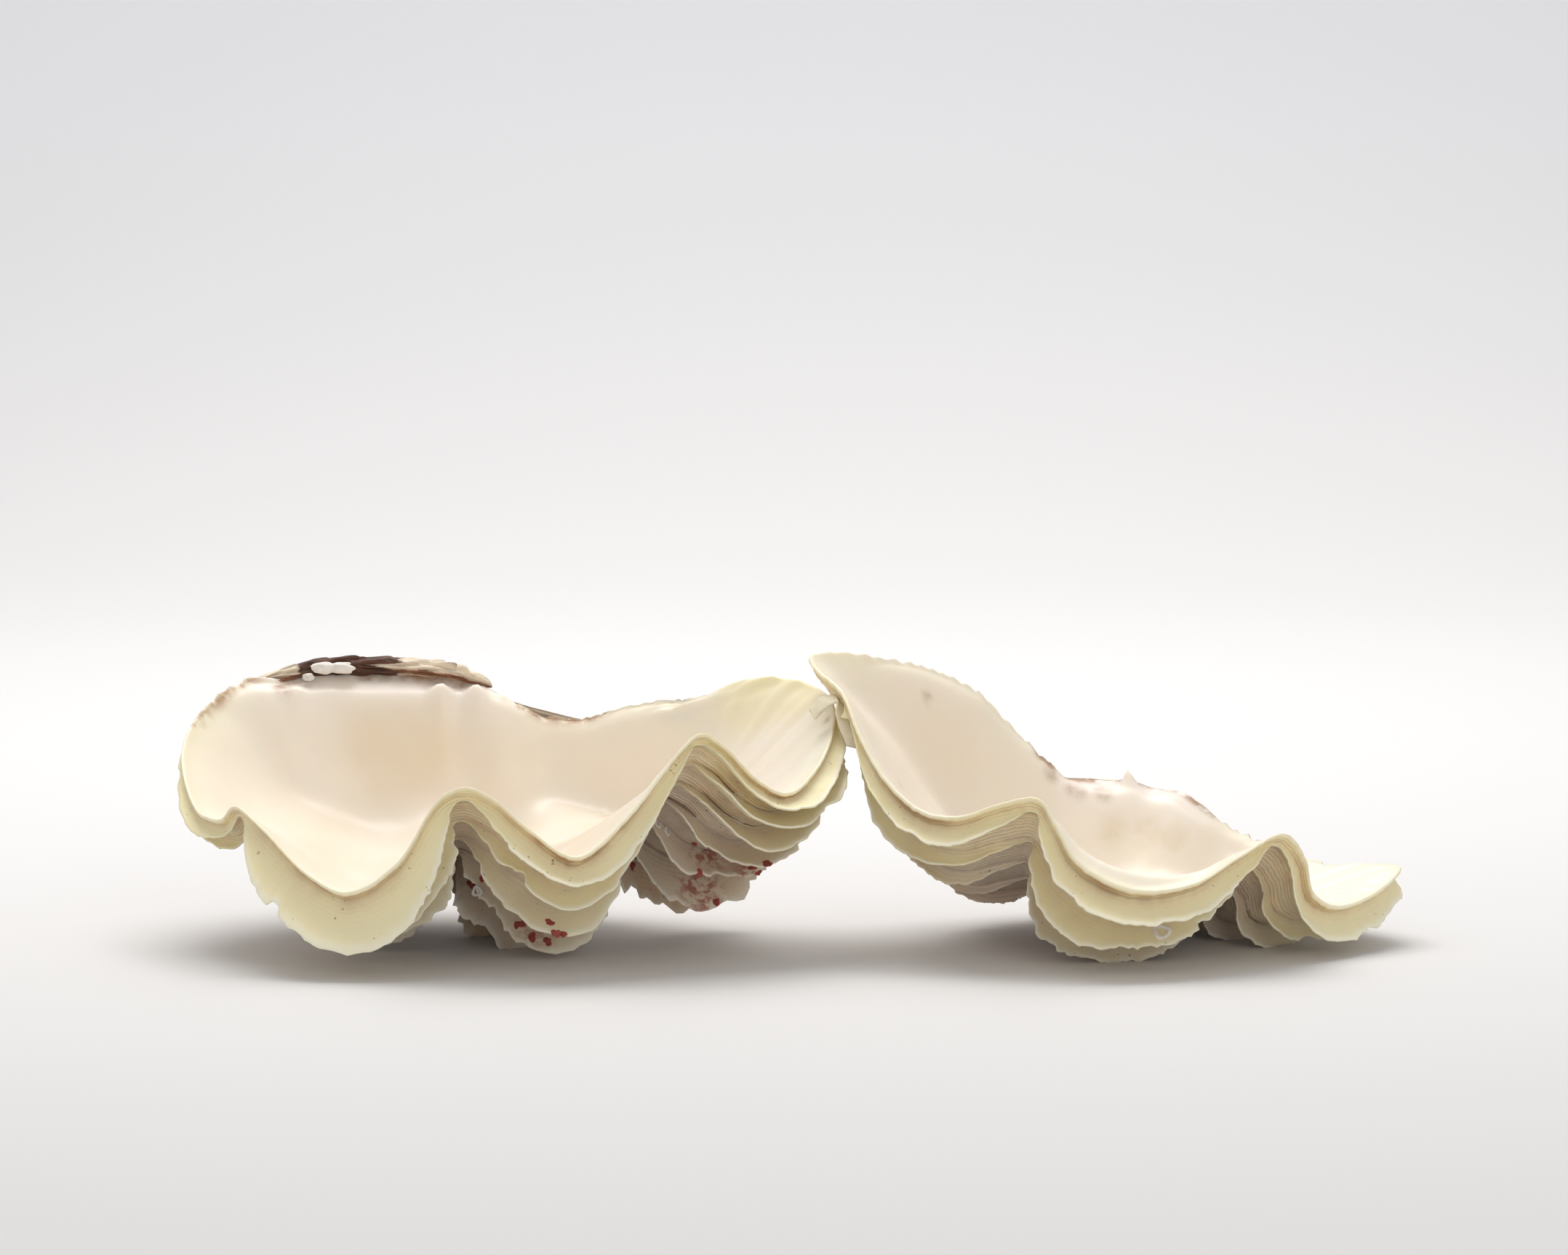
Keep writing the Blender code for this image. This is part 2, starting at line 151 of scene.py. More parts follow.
RIGHT_EDGE = (
    (125, 44, 35, 0.00, 1.0),
    (119, 47, 38, 0.00, 1.0),
    (112, 49, 39, 0.00, 1.0),
    (103, 50, 41, 0.00, 1.0),
    (92, 50, 42, 0.00, 1.0),
    (83, 48, 43, 0.00, 0.8),
    (77, 45, 49, 0.00, 0.5),
    (65, 41, 61, 0.00, 0.4),
    (55, 36, 71, 0.00, 0.4),
    (41, 31, 78, 0.00, 0.4),
    (25, 25, 82, 0.10, 0.3),
    (14, 18, 84, 0.05, 0.1),
    (6, 8, 84, 0.00, 0.0),
    (8, -4, 81, 0.00, 0.0),
    (15, -16, 76, 0.00, 0.0),
    (20, -28, 65, 0.30, 0.0),
    (27, -38, 54, 0.80, 0.0),
    (37, -46, 46, 1.00, 0.0),
    (48, -51, 45, 0.70, 0.0),
    (59, -54, 49, 0.30, 0.0),
    (70, -56, 51, 0.00, 0.0),
    (75, -59, 44, 0.40, 0.0),
    (82, -62, 33, 0.80, 0.0),
    (97, -64, 26, 1.00, 0.0),
    (114, -60, 27, 0.80, 0.0),
    (128, -53, 34, 0.40, 0.0),
    (141, -44, 39, 0.00, 0.0),
    (148, -38, 31, 0.40, 0.0),
    (151, -34, 20, 0.80, 0.0),
    (159, -28, 15, 1.00, 0.0),
    (171, -16, 17, 0.80, 0.0),
    (180, -2, 22, 0.50, 0.0),
    (175, 12, 21, 0.30, 0.1),
    (164, 24, 19, 0.10, 0.3),
    (148, 35, 23, 0.00, 0.4),
    (134, 41, 28, 0.00, 0.5),
)


# what varies over a valve: distance grown, hollow or outside, on a scale, in a nook (darkened as painted
# shade), on the brown seam under the lip (partly painted shade), near the rim, in a rib's trough, and on the
# hinge plate
MARKS = ("growth", "hollow", "flare", "nook", "seam", "rim", "trough", "hinge")


@dataclass(frozen=True)
class Flare:
    """A growth stage at which the edge flared into a scale, with the scale's length on each rib in mm.

    A rib's bias makes its scale longer at one flank and shorter at the other.
    """

    degrees: float
    lean: float
    lengths: tuple
    bias: tuple = (0.0,)


@dataclass
class Rows:
    """Rows of points from the middle of the hollow over the lip to the umbo, with what varies."""

    points: list = field(default_factory=list)
    marks: dict = field(default_factory=lambda: {name: [] for name in MARKS})

    def add(self, points: np.ndarray, **marks: np.ndarray) -> None:
        """One more row.

        Args:
            points: a point for each column.
            marks: the row's marks; one that isn't given is zero.
        """
        self.points.append(points)
        for name in MARKS:
            value = marks.get(name, 0.0)
            self.marks[name].append(np.broadcast_to(np.asarray(value, float), (len(points),)))


@dataclass
class HalfShell:
    """One valve, worked out from its edge and how it grew. Lengths are in mm.

    The edge turns back about the umbo and the axis, and shrinks at the rate given by growth, by spread
    towards both sides and by skew towards one. The valve's own plan has its middle and its way up.
    """

    side: Node
    edge: tuple
    umbo: tuple
    axis: tuple
    growth: float
    spread: float
    skew: float
    up: tuple
    middle: tuple
    flares: tuple
    # bumps on the hinge plate: x, y, height and width
    teeth: tuple
    # by rib: how much slower it grew, how its scales lean on, lean aside, and how far its lip rolls in
    rib_stage: tuple
    rib_lean: tuple
    rib_aside: tuple
    rolls: tuple
    seed: int
    columns: int = 460
    rings: int = 48
    full_turn: float = math.radians(185.0)
    far_turn: float = math.radians(112.0)
    # how far the outside sinks beside the hinge
    hinge_sink: float = 10.0
    # the valve's half length, by which sideways places are measured
    half_length: float = 150.0
    wall_at_lip: float = 1.5
    wall_near_lip: float = 3.0
    wall_deep: float = 8.0
    least_wall: float = 1.2
    lip_round: float = 1.3
    # the hinge plate's width
    plate_width: float = 11.0
    scale_root: float = 2.2
    scale_edge: float = 0.7
    scale_steps: int = 7
    scale_bend: float = math.radians(34.0)
    half_root: float = math.radians(1.0)
    # a scale's shortest length, and what is added to every length
    scale_least: float = 0.1
    scale_extra: float = 0.15
    # waves in a scale's edge: how strong when new, fewest and most in a round, and which set
    edge_waves: tuple = ((0.026, 30, 90, 1), (0.018, 90, 210, 2), (0.08, 6, 22, 4))
    # how much the growth mark gains in a degree
    line_rate: float = 2.1
    ledges_between: int = 3
    old_ledges: int = 13
    oldest: float = 164.0
    even_passes: int = 90

    def __post_init__(self) -> None:
        """Works out the edge and the valve's own plan."""
        curve = self.closed_curve()
        self.around = np.arange(self.columns) / self.columns
        self.rim = curve[:, :3]
        self.fold = np.clip(curve[:, 3], 0.0, 1.5)
        self.hinge = np.clip(curve[:, 4], 0.0, 1.0)
        inside = self.fold > 0.07
        self.rib = np.maximum(np.cumsum(inside & ~np.roll(inside, 1)) - 1, 0)
        peaks = np.array([max(self.fold[self.rib == k].max(), 0.1) for k in range(self.rib.max() + 1)])
        self.reach = (self.fold / peaks[self.rib]) ** 0.7 * (1.0 - self.hinge)
        self.within = np.zeros(self.columns)
        for k in range(self.rib.max() + 1):
            mine = inside & (self.rib == k)
            self.within[mine] = np.linspace(-1.0, 1.0, mine.sum())
        self.origin = np.array(self.umbo)
        self.turn_axis = unit(np.array(self.axis))
        sideways = ((self.rim - self.origin) @ self.turn_axis) / self.half_length
        self.rate = self.growth * (1.0 - self.spread * sideways ** 2 + self.skew * sideways)
        beside = smooth_step(self.hinge / 0.35) * (1.0 - smooth_step((self.hinge - 0.5) / 0.45))
        self.sink = self.hinge_sink * evened_round(beside, self.columns // 4)
        self.high = unit(np.array(self.up))
        self.deep = unit(np.cross(self.high, self.turn_axis))
        self.long = np.cross(self.deep, self.high)
        self.centre = np.array(self.middle)
        rough = 0.16 + 0.7 * smooth_step(self.hinge / 0.3) * (1.0 - smooth_step((self.hinge - 0.5) / 0.4))
        fine = ripple(self.around, 40, 200, self.seed) * rough
        self.rim = self.rim + fine[:, None] * self.high

    def by_rib(self, values: tuple) -> np.ndarray:
        """One value a rib, given to each column and evened out where ribs meet."""
        passes = 14
        return evened_round(np.array(values, dtype=float)[np.minimum(self.rib, len(values) - 1)], passes)

    def stage(self, degrees: float) -> np.ndarray:
        """A growth stage in radians for each column; some ribs have grown slower than others."""
        fade = min(max(1.0 - (degrees - 40.0) / 60.0, 0.0), 1.0)
        return np.radians(degrees) * (1.0 + (self.by_rib(self.rib_stage) - 1.0) * fade)

    def closed_curve(self) -> np.ndarray:
        """A smooth closed curve through the edge's points; the hinge side gets fewer columns.

        Returns:
            A row of x, y, z, fold and hinge for each column.
        """
        points = np.array(self.edge, dtype=float)
        before = np.roll(points, 1, axis=0)
        after = np.roll(points, -1, axis=0)
        beyond = np.roll(points, -2, axis=0)
        between = 24
        steps = np.arange(between)[:, None, None] / between
        curve = 0.5 * (
            2.0 * points
            + (after - before) * steps
            + (2.0 * before - 5.0 * points + 4.0 * after - beyond) * steps ** 2
            + (3.0 * points - before - 3.0 * after + beyond) * steps ** 3
        )
        curve = curve.transpose(1, 0, 2).reshape(-1, points.shape[1])
        curve = np.vstack([curve, curve[:1]])
        length = np.linalg.norm(np.diff(curve[:, :3], axis=0), axis=1)
        weight = 1.0 - 0.5 * np.clip(curve[:-1, 4], 0.0, 1.0)
        along = np.concatenate([[0.0], np.cumsum(length * weight)])
        places = np.arange(self.columns) * along[-1] / self.columns
        columns = [np.interp(places, along, curve[:, k]) for k in range(points.shape[1])]
        return np.stack(columns, axis=-1)

    def grown(self, stage: np.ndarray) -> np.ndarray:
        """The edge as it was at a growth stage.

        Args:
            stage: radians back from now, one for all or one a column.

        Returns:
            A point for each column.
        """
        stage = np.broadcast_to(np.asarray(stage, float), (self.columns,))
        rel = self.rim - self.origin
        lengthwise = (rel @ self.turn_axis)[:, None] * self.turn_axis
        across = rel - lengthwise
        turned = np.cross(self.turn_axis, rel)
        belly = 0.12 * smooth_step((stage - 0.4) / 0.5)
        size = np.clip(1.0 - stage / self.full_turn, 0.0, 2.0) ** (self.rate * (1.0 - belly))
        turn = self.far_turn * np.tanh(stage / self.far_turn)
        arm = lengthwise + across * np.cos(turn)[:, None] + turned * np.sin(turn)[:, None]
        place = self.origin + size[:, None] * arm
        place[:, 2] -= 4.0 * size * np.clip(1.0 - size, 0.0, 1.0) * self.sink
        return place

    def outward(self, stage: np.ndarray) -> tuple:
        """Directions at a growth stage.

        Args:
            stage: radians back from now.

        Returns:
            For each column the outward direction and the direction towards the edge.
        """
        here = self.grown(stage)
        forward = unit(self.grown(stage - 0.01) - here)
        around = unit(np.roll(here, -1, axis=0) - np.roll(here, 1, axis=0))
        normal = unit(np.cross(forward, around))
        if np.sum(normal * (here - self.centre)) < 0:
            normal = -normal
        for _ in range(self.columns // 30):
            normal = unit(np.roll(normal, 1, axis=0) + normal + np.roll(normal, -1, axis=0))
        return normal, forward

    def add_scale(self, rows: Rows, flare: Flare, number: int) -> None:
        """The rows of one scale: its root, front, edge and back.

        Args:
            rows: what the rows are added to.
            flare: the growth stage, length and lean.
            number: which scale it is, so that no two have the same edge.
        """
        seed = self.seed * 100 + number * 10
        drift = 1.0 + (0.05 if flare.degrees > 5.0 else 0.02) * ripple(self.around, 3, 11, seed)
        stage = self.stage(flare.degrees) * drift
        length = self.scale_length(flare, seed)
        full = np.clip(length / 6.0, 0.0, 1.0)
        normal, forward = self.outward(stage)
        wobble = ripple(self.around, 9, 30, seed + 5) * 0.7 * full
        lean = np.radians(flare.lean + self.by_rib(self.rib_lean))
        aside = self.by_rib(self.rib_aside)[:, None] * np.array((1.0, 0.0, 0.0))
        wall = np.minimum(self.scale_root, 0.8 + 0.3 * length)
        age = min(flare.degrees / 45.0, 1.0)
        line = flare.degrees * self.line_rate
        steps = self.scale_steps
        fresh = max(1.0 - flare.degrees / 9.0, 0.0)
        # the nook mark rises at a scale's root and on its back; in the colour it is painted shade
        rows.add(
            self.grown(stage - self.half_root * 0.7), growth=line - 1.0, nook=0.5 + 0.4 * age,
            seam=fresh * self.fold,
        )
        centre = [self.grown(stage)]
        ways = []
        for step in range(steps):
            angle = (lean + self.scale_bend * ((step + 0.5) / steps - 0.5))[:, None]
            way = unit(normal * np.cos(angle) + forward * np.sin(angle) + aside)
            ways.append(way)
            centre.append(centre[-1] + way * (length / steps)[:, None])
        ways.append(ways[-1])
        shares = np.arange(steps + 1) / steps
        middle = [c + forward * (wobble * share ** 2)[:, None] for c, share in zip(centre, shares)]
        sideways = [unit(forward - way * np.sum(forward * way, axis=1)[:, None]) for way in ways]
        spare = wall - self.scale_edge
        half_walls = [(self.scale_edge + spare * (1.0 - share) ** 1.6) / 2.0 for share in shares]
        fronts = [m + s * h[:, None] for m, s, h in zip(middle, sideways, half_walls)]
        backs = [m - s * h[:, None] for m, s, h in zip(middle, sideways, half_walls)]
        for share, front in zip(shares, fronts):
            rows.add(
                front, growth=line - length * share, flare=(0.6 + 0.4 * share) * full,
                nook=(1.0 - share) ** 3 * (0.3 + 0.5 * age), seam=fresh * self.fold * (1.0 - share) ** 4,
            )
        rows.add(middle[-1] + ways[-1] * (self.scale_edge * 0.4), growth=line - length - 0.4, flare=full)
        # the back faces carry a strong nook mark: painted shade under the scale
        for share, back in zip(shares[::-1], backs[::-1]):
            rows.add(
                back, growth=line + length * share, flare=share * 0.6 * full,
                nook=0.15 + 0.25 * age + (1.0 - share) ** 2 * (0.3 + 0.4 * age),
            )
        rows.add(self.grown(stage + self.half_root * 1.2), growth=line + 1.4, nook=0.5 + 0.4 * age)

    def scale_length(self, flare: Flare, seed: int) -> np.ndarray:
        """How far a scale stands out, with its torn edge.

        Args:
            flare: its length on each rib.
            seed: which set of waves and chips.

        Returns:
            A length for each column.
        """
        worn = 1.0 + min(flare.degrees / 15.0, 1.5)
        ragged = 1.0 - self.chips(seed + 3)
        for strength, slow, quick, number in self.edge_waves:
            ragged += strength * worn * ripple(self.around, slow, quick, seed + number)
        bias = 1.0 + self.by_rib(flare.bias) * self.within
        length = self.scale_extra + self.by_rib(flare.lengths) * bias * self.reach * ragged
        return np.maximum(length, self.scale_least)

    def chips(self, seed: int) -> np.ndarray:
        """Small broken notches along a scale's edge.

        Args:
            seed: which set of notches.

        Returns:
            The share of the scale's length lost at each column.
        """
        draw = np.random.default_rng(seed)
        lost = np.zeros(self.columns)
        for _ in range(16):
            place = draw.uniform()
            width = draw.uniform(0.0022, 0.008)
            depth = draw.uniform(0.05, 0.22)
            away = np.abs((self.around - place + 0.5) % 1.0 - 0.5)
            lost += depth * (1.0 - smooth_step((away / width - 0.6) / 0.6))
        return lost

    def add_outside(self, rows: Rows) -> None:
        """The outside from the lip to the umbo, with every scale.

        Args:
            rows: what the rows are added to.
        """
        rows.add(self.grown(self.stage(0.45)), growth=0.6, nook=0.3, seam=self.fold)
        last = 0.5
        for number, flare in enumerate(self.flares):
            ledges = self.ledges_between if number > 0 else 0
            for k in range(ledges):
                at = last + (flare.degrees - last) * (k + 1.0) / (ledges + 1.0)
                self.add_ledge(rows, at, number * ledges + k)
            self.add_scale(rows, flare, number)
            last = flare.degrees + 1.6
        for at in np.linspace(last + 6.0, self.oldest, self.old_ledges):
            self.add_ledge(rows, at, 90 + int(at))

    def add_ledge(self, rows: Rows, degrees: float, number: int) -> None:
        """A low worn growth line: one row lifted a little off the shell.

        Args:
            rows: what the row is added to.
            degrees: the growth stage.
            number: which line it is.
        """
        stage = self.stage(degrees)
        old = min(degrees / 50.0, 1.0)
        normal = self.outward(stage)[0]
        lift = (0.12 + 0.3 * ripple(self.around, 12, 60, self.seed * 1000 + number)) * (0.4 + 0.6 * old)
        lift *= 1.0 - min(degrees / 190.0, 0.9)
        place = self.grown(stage) + normal * lift[:, None]
        # a ledge's nook mark grows where it sinks; in the colour it is painted shade
        nook = 0.2 + 0.35 * old + 0.4 * np.clip(-lift, 0.0, 1.0)
        rows.add(place, growth=degrees * self.line_rate, nook=nook)

    def to_plan(self, places: np.ndarray) -> np.ndarray:
        """Places in the valve's own plan: lengthwise, crosswise and height."""
        rel = places - self.centre
        return np.stack([rel @ self.long, rel @ self.deep, rel @ self.high], axis=-1)

    def from_plan(self, plan: np.ndarray) -> np.ndarray:
        """Places in millimetres from the valve's own plan."""
        along = self.centre + plan[..., 0:1] * self.long
        return along + plan[..., 1:2] * self.deep + plan[..., 2:3] * self.high

    def base_tree(self) -> BVHTree:
        """The outside without scales, for finding how deep it is.

        Returns:
            A tree of its faces in the valve's own plan.
        """
        # growth stages in degrees, close together where it is young and bends most
        stages = (0, 1.5, 4, 7.5, 11, 15, 20, 26, 33, 41, 50, 60, 72, 86, 104, 125, 150)
        rows = [self.to_plan(self.grown(math.radians(at))) for at in stages]
        points = [Vector(point) for row in rows for point in row]
        count = self.columns
        faces = []
        for j in range(len(rows) - 1):
            for i in range(count):
                k = (i + 1) % count
                faces.append((j * count + i, j * count + k, (j + 1) * count + k, (j + 1) * count + i))
        return BVHTree.FromPolygons(points, faces)

    def hollow_limit(self, plan: np.ndarray, edge_plan: np.ndarray) -> np.ndarray:
        """The least height near the back wall: a hinge plate with a rounded ridge, then a steep drop.

        Args:
            plan: places in the hollow, lengthwise and crosswise.
            edge_plan: the edge in the valve's plan.

        Returns:
            A height for each place.
        """
        wall = self.hinge > 0.05
        edge = edge_plan[wall]
        hinge = self.hinge[wall]
        shelf = self.plate_width * hinge
        slope = 3.0 + 16.0 * np.clip(0.4 - hinge, 0.0, 1.0)
        away = np.linalg.norm(plan[:, None, :] - edge[None, :, :2], axis=2)
        past = away - shelf
        past = (past + np.sqrt(past ** 2 + 2.5)) / 2.0
        ridge = 0.8 * smooth_step((hinge - 0.5) / 0.4) * np.exp(-(((away - shelf + 2.0) / 2.2) ** 2))
        limit = edge[:, 2] - 0.5 * np.minimum(away, shelf) + ridge - slope * past
        return limit.max(axis=1)

    def add_hollow(self, rows: Rows) -> np.ndarray:
        """The rows of the hollow, from near its middle to the lip.

        Args:
            rows: what the rows are added to.

        Returns:
            The hollow's middle point.
        """
        tree = self.base_tree()
        edge = self.to_plan(self.rim)
        down = Vector((0.0, 0.0, -1.0))
        rolled = self.by_rib(self.rolls) * self.reach
        shares = 1.0 - (np.arange(1, self.rings + 1) / self.rings) ** 1.85
        shares[-1] = 0.0
        heights, floors, plans, gaps = [], [], [], []
        for share in shares:
            plan = edge[:, :2] * share
            gap = np.linalg.norm(edge[:, :2] - plan, axis=1)
            left = 1.0 - np.clip(gap / self.lip_round, 0.0, 1.0)
            round_off = np.sqrt(np.clip(1.0 - left ** 2, 0.0, 1.0))
            thick = self.wall_at_lip * round_off
            thick = thick + (self.wall_near_lip - self.wall_at_lip) * smooth_step(gap / 8.0)
            thick = thick + (self.wall_deep - self.wall_near_lip) * smooth_step(gap / 45.0)
            thick = thick + rolled * smooth_step(gap / 7.0) * (1.0 - smooth_step((gap - 8.0) / 14.0))
            floor = np.empty(self.columns)
            for i in range(self.columns):
                start = Vector((plan[i, 0], plan[i, 1], edge[i, 2] + 25.0))
                hit = tree.ray_cast(start, down)[0]
                floor[i] = edge[i, 2] - 2.0 if hit is None else hit[2]
            height = np.maximum(floor + thick, self.hollow_limit(plan, edge))
            heights.append(height)
            floors.append(floor + self.least_wall * round_off)
            plans.append(plan)
            gaps.append(gap)
        heights = self.evened(np.array(heights), np.array(floors), 1.0 - shares)
        made = []
        for k in range(len(shares) - 1):
            height = heights[k] + self.corrugation(plans[k], gaps[k])
            row = self.from_plan(np.column_stack([plans[k], height]))
            for x, y, tall, wide in self.teeth:
                near = (row[:, 0] - x) ** 2 + (row[:, 1] - y) ** 2
                row[:, 2] += tall * np.exp(-near / (wide * wide))
            made.append((row, gaps[k]))
        for row, gap in reversed(made):
            rows.add(
                row, hollow=1.0, rim=np.exp(-gap / 5.0), growth=gap,
                trough=np.clip(self.fold, 0.0, 1.0) * np.exp(-((gap / 24.0) ** 2)),
                hinge=self.hinge * np.exp(-((gap / 13.0) ** 4)),
            )
        return self.from_plan(np.array([0.0, 0.0, float(heights[-1].mean())]))

    def corrugation(self, plan: np.ndarray, gap: np.ndarray) -> np.ndarray:
        """Low radial waves inside the lip, clearest at the long end.

        Args:
            plan: places in the hollow, lengthwise and crosswise.
            gap: how far each is from the lip.

        Returns:
            A height for each place.
        """
        turn = np.arctan2(plan[:, 1], plan[:, 0])
        clear = 0.08 + 0.92 * np.exp(-((turn - 0.3) / 0.4) ** 2)
        fade = smooth_step(gap / 3.0) * (1.0 - smooth_step((gap - 12.0) / 34.0))
        waves = np.sin(turn * 62.0 + 2.0 * np.sin(turn * 5.0 + self.seed))
        waves += 0.6 * np.sin(turn * 97.0 + 3.0 * np.sin(turn * 4.0))
        return 0.42 * waves * clear * fade * (1.0 - self.hinge)

    def evened(self, heights: np.ndarray, floors: np.ndarray, inward: np.ndarray) -> np.ndarray:
        """The hollow's heights evened out more and more towards its middle.

        Args:
            heights: a row from the lip inwards of a height for each column.
            floors: the least height at each of these places.
            inward: how far in each row is, 0 at the lip and 1 in the middle.

        Returns:
            The new heights.
        """
        heights[-1] = heights[-1].mean()
        share_around = np.clip(inward * 1.6, 0.0, 1.0)[:, None]
        share_across = np.clip(inward * 1.2 - 0.1, 0.0, 0.8)[:, None]
        for _ in range(self.even_passes):
            around = (np.roll(heights, 1, axis=1) + heights + np.roll(heights, -1, axis=1)) / 3.0
            heights = heights + (around - heights) * share_around
            across = heights.copy()
            across[1:-1] = (heights[:-2] + 2.0 * heights[1:-1] + heights[2:]) / 4.0
            heights = heights + (across - heights) * share_across
            heights = np.maximum(heights, floors)
        return heights

    def build(self) -> bpy.types.Object:
        """The valve: a sheet rolled up from the middle of the hollow over the lip to the umbo.

        Returns:
            The piece, at the origin.
        """
        rows = Rows()
        middle = self.add_hollow(rows)
        rows.add(self.rim, hollow=0.8, rim=1.0)
        self.add_outside(rows)
        umbo = rows.points[-1].mean(axis=0)
        sheet = RolledSheet(self.side.value + "_shell", self.columns, len(rows.points) + 1)
        places = np.array([np.broadcast_to(middle, (self.columns, 3))] + rows.points)
        places = np.concatenate([places, np.broadcast_to(umbo, (1, self.columns, 3))]) + CENTRING
        places[..., 2] = np.maximum(places[..., 2], 0.0)
        sheet.move(places)
        for name in MARKS:
            sheet.mark(name, np.array(rows.marks[name][:1] + rows.marks[name] + rows.marks[name][-1:]))
        return sheet.closed()


class RolledSheet:
    """A sheet rolled up so that its sides meet, with its points moved to the rows of a closed shape."""

    def __init__(self, name: str, columns: int, rings: int) -> None:
        """Adds the sheet.

        Args:
            name: the piece's name.
            columns: points round the roll.
            rings: steps from end to end, so that there is one more row; the end rows are a point each.
        """
        bpy.ops.object.select_all(action="DESELECT")
        bpy.ops.mesh.primitive_grid_add(x_subdivisions=columns, y_subdivisions=rings, size=2.0)
        self.piece = bpy.context.object
        self.piece.name = name
        self.mesh = self.piece.data
        self.mesh.name = name
        points = np.empty(len(self.mesh.vertices) * 3)
        self.mesh.vertices.foreach_get("co", points)
        points = (points.reshape(-1, 3) + 1.0) / 2.0
        self.ring = np.rint(points[:, 1] * rings).astype(int)
        self.turn = np.rint(points[:, 0] * columns).astype(int) % columns

    def move(self, places: np.ndarray) -> None:
        """Moves the points to places in mm, given by row and column."""
        self.mesh.vertices.foreach_set("co", (places[self.ring, self.turn] * MM).ravel())

    def mark(self, name: str, values: np.ndarray) -> None:
        """Gives the points a value, by row and column."""
        layer = self.mesh.attributes.new(name, "FLOAT", "POINT")
        layer.data.foreach_set("value", values[self.ring, self.turn])

    def closed(self) -> bpy.types.Object:
        """Closes the seam and the ends, turns the faces outwards and shades them smooth.

        Returns:
            The piece.
        """
        bpy.ops.object.mode_set(mode="EDIT")
        bpy.ops.mesh.select_all(action="SELECT")
        bpy.ops.mesh.remove_doubles(threshold=1e-7)
        bpy.ops.object.mode_set(mode="OBJECT")
        face_outwards(self.mesh)
        self.mesh.shade_smooth()
        return self.piece


def face_outwards(mesh: bpy.types.Mesh) -> None:
    """Turns a closed mesh's faces outwards.

    Args:
        mesh: the mesh, changed in place.
    """
    body = bmesh.new()
    body.from_mesh(mesh)
    bmesh.ops.recalc_face_normals(body, faces=body.faces[:])
    if body.calc_volume(signed=True) < 0.0:
        bmesh.ops.reverse_faces(body, faces=body.faces[:])
    body.to_mesh(mesh)
    body.free()


@dataclass(frozen=True)
class Pick:
    """A place on the shell, by the pixel of the photograph at which it shows, and its size in mm."""

    px: float
    py: float
    size: float
    strength: float = 1.0


class Finder:
    """Finds places on the shell from pixels, and marks the shell's points round them."""

    # where hit looks in turn, in pixels down and aside
    NEAR = (
        (0, 0), (6, 0), (12, 0), (20, 0), (0, 10), (0, -10), (-12, 0), (30, 0), (0, 25), (0, -25), (-30, 0),
    )

    def __init__(self, studio: "Studio", pieces: list) -> None:
        """Keeps a tree of each piece's faces.

        Args:
            studio: what gives the rays.
            pieces: where places are looked for.
        """
        self.studio = studio
        self.pieces = pieces
        self.trees = []
        for piece in pieces:
            faces = [tuple(face.vertices) for face in piece.data.polygons]
            self.trees.append(BVHTree.FromPolygons([v.co for v in piece.data.vertices], faces))

    def hit(self, pick: Pick) -> tuple:
        """The nearest place through a pick's pixel, or a little below or beside it.

        Args:
            pick: the pixel.

        Returns:
            The place and the outward direction there.
        """
        for down, aside in self.NEAR:
            eye, way = self.studio.ray(pick.px + aside, pick.py + down)
            hits = [tree.ray_cast(eye, way) for tree in self.trees]
            hits = [found for found in hits if found[0] is not None]
            if hits:
                place, normal, _, _ = min(hits, key=lambda found: found[3])
                return place, normal
        raise ValueError(f"nothing near pixel {pick.px} {pick.py}")

    def stain_and_shadow(self, name: str, picks: tuple) -> None:
        """Marks the points round each pick, 1 at its middle and fading at its edge.

        Args:
            name: the mark's name.
            picks: where, how large and how strong.
        """
        places = [np.array(self.hit(pick)[0]) / MM for pick in picks]
        for piece in self.pieces:
            mesh = piece.data
            points = np.empty(len(mesh.vertices) * 3)
            mesh.vertices.foreach_get("co", points)
            points = points.reshape(-1, 3) / MM
            values = np.zeros(len(points))
            for pick, place in zip(picks, places):
                away = np.linalg.norm(points - place, axis=1) / pick.size
                values = np.maximum(values, pick.strength * (1.0 - smooth_step((away - 0.35) / 0.9)))
            layer = mesh.attributes.new(name, "FLOAT", "POINT")
            layer.data.foreach_set("value", values)


class Shade:
    """One value in a material, so that its maths can be written as sums."""

    def __init__(self, finish: "Dressing", socket: bpy.types.NodeSocket) -> None:
        """Holds the socket and the material it is in."""
        self.finish = finish
        self.socket = socket

    def maths(self, operation: str, *values: object) -> "Shade":
        """A Math node on these values."""
        inputs = {k: value for k, value in enumerate(values)}
        return self.finish.node("ShaderNodeMath", {"operation": operation}, inputs)

    def __add__(self, other: object) -> "Shade":
        """Sum."""
        return self.maths("ADD", self, other)

    __radd__ = __add__

    def __sub__(self, other: object) -> "Shade":
        """Difference."""
        return self.maths("SUBTRACT", self, other)

    def __rsub__(self, other: object) -> "Shade":
        """Difference from a number."""
        return self.maths("SUBTRACT", other, self)

    def __mul__(self, other: object) -> "Shade":
        """Product."""
        return self.maths("MULTIPLY", self, other)

    __rmul__ = __mul__

    def __pow__(self, other: object) -> "Shade":
        """Power."""
        return self.maths("POWER", self, other)

    def clamped(self) -> "Shade":
        """Kept between 0 and 1."""
        return self.maths("MAXIMUM", self.maths("MINIMUM", self, 1.0), 0.0)

    def sine(self) -> "Shade":
        """Sine of the value."""
        return self.maths("SINE", self)

    def between(self, low: float, high: float) -> "Shade":
        """0 at low, 1 at high, smooth between."""
        inputs = {"Value": self, "From Min": low, "From Max": high}
        return self.finish.node("ShaderNodeMapRange", {"interpolation_type": "SMOOTHSTEP"}, inputs)


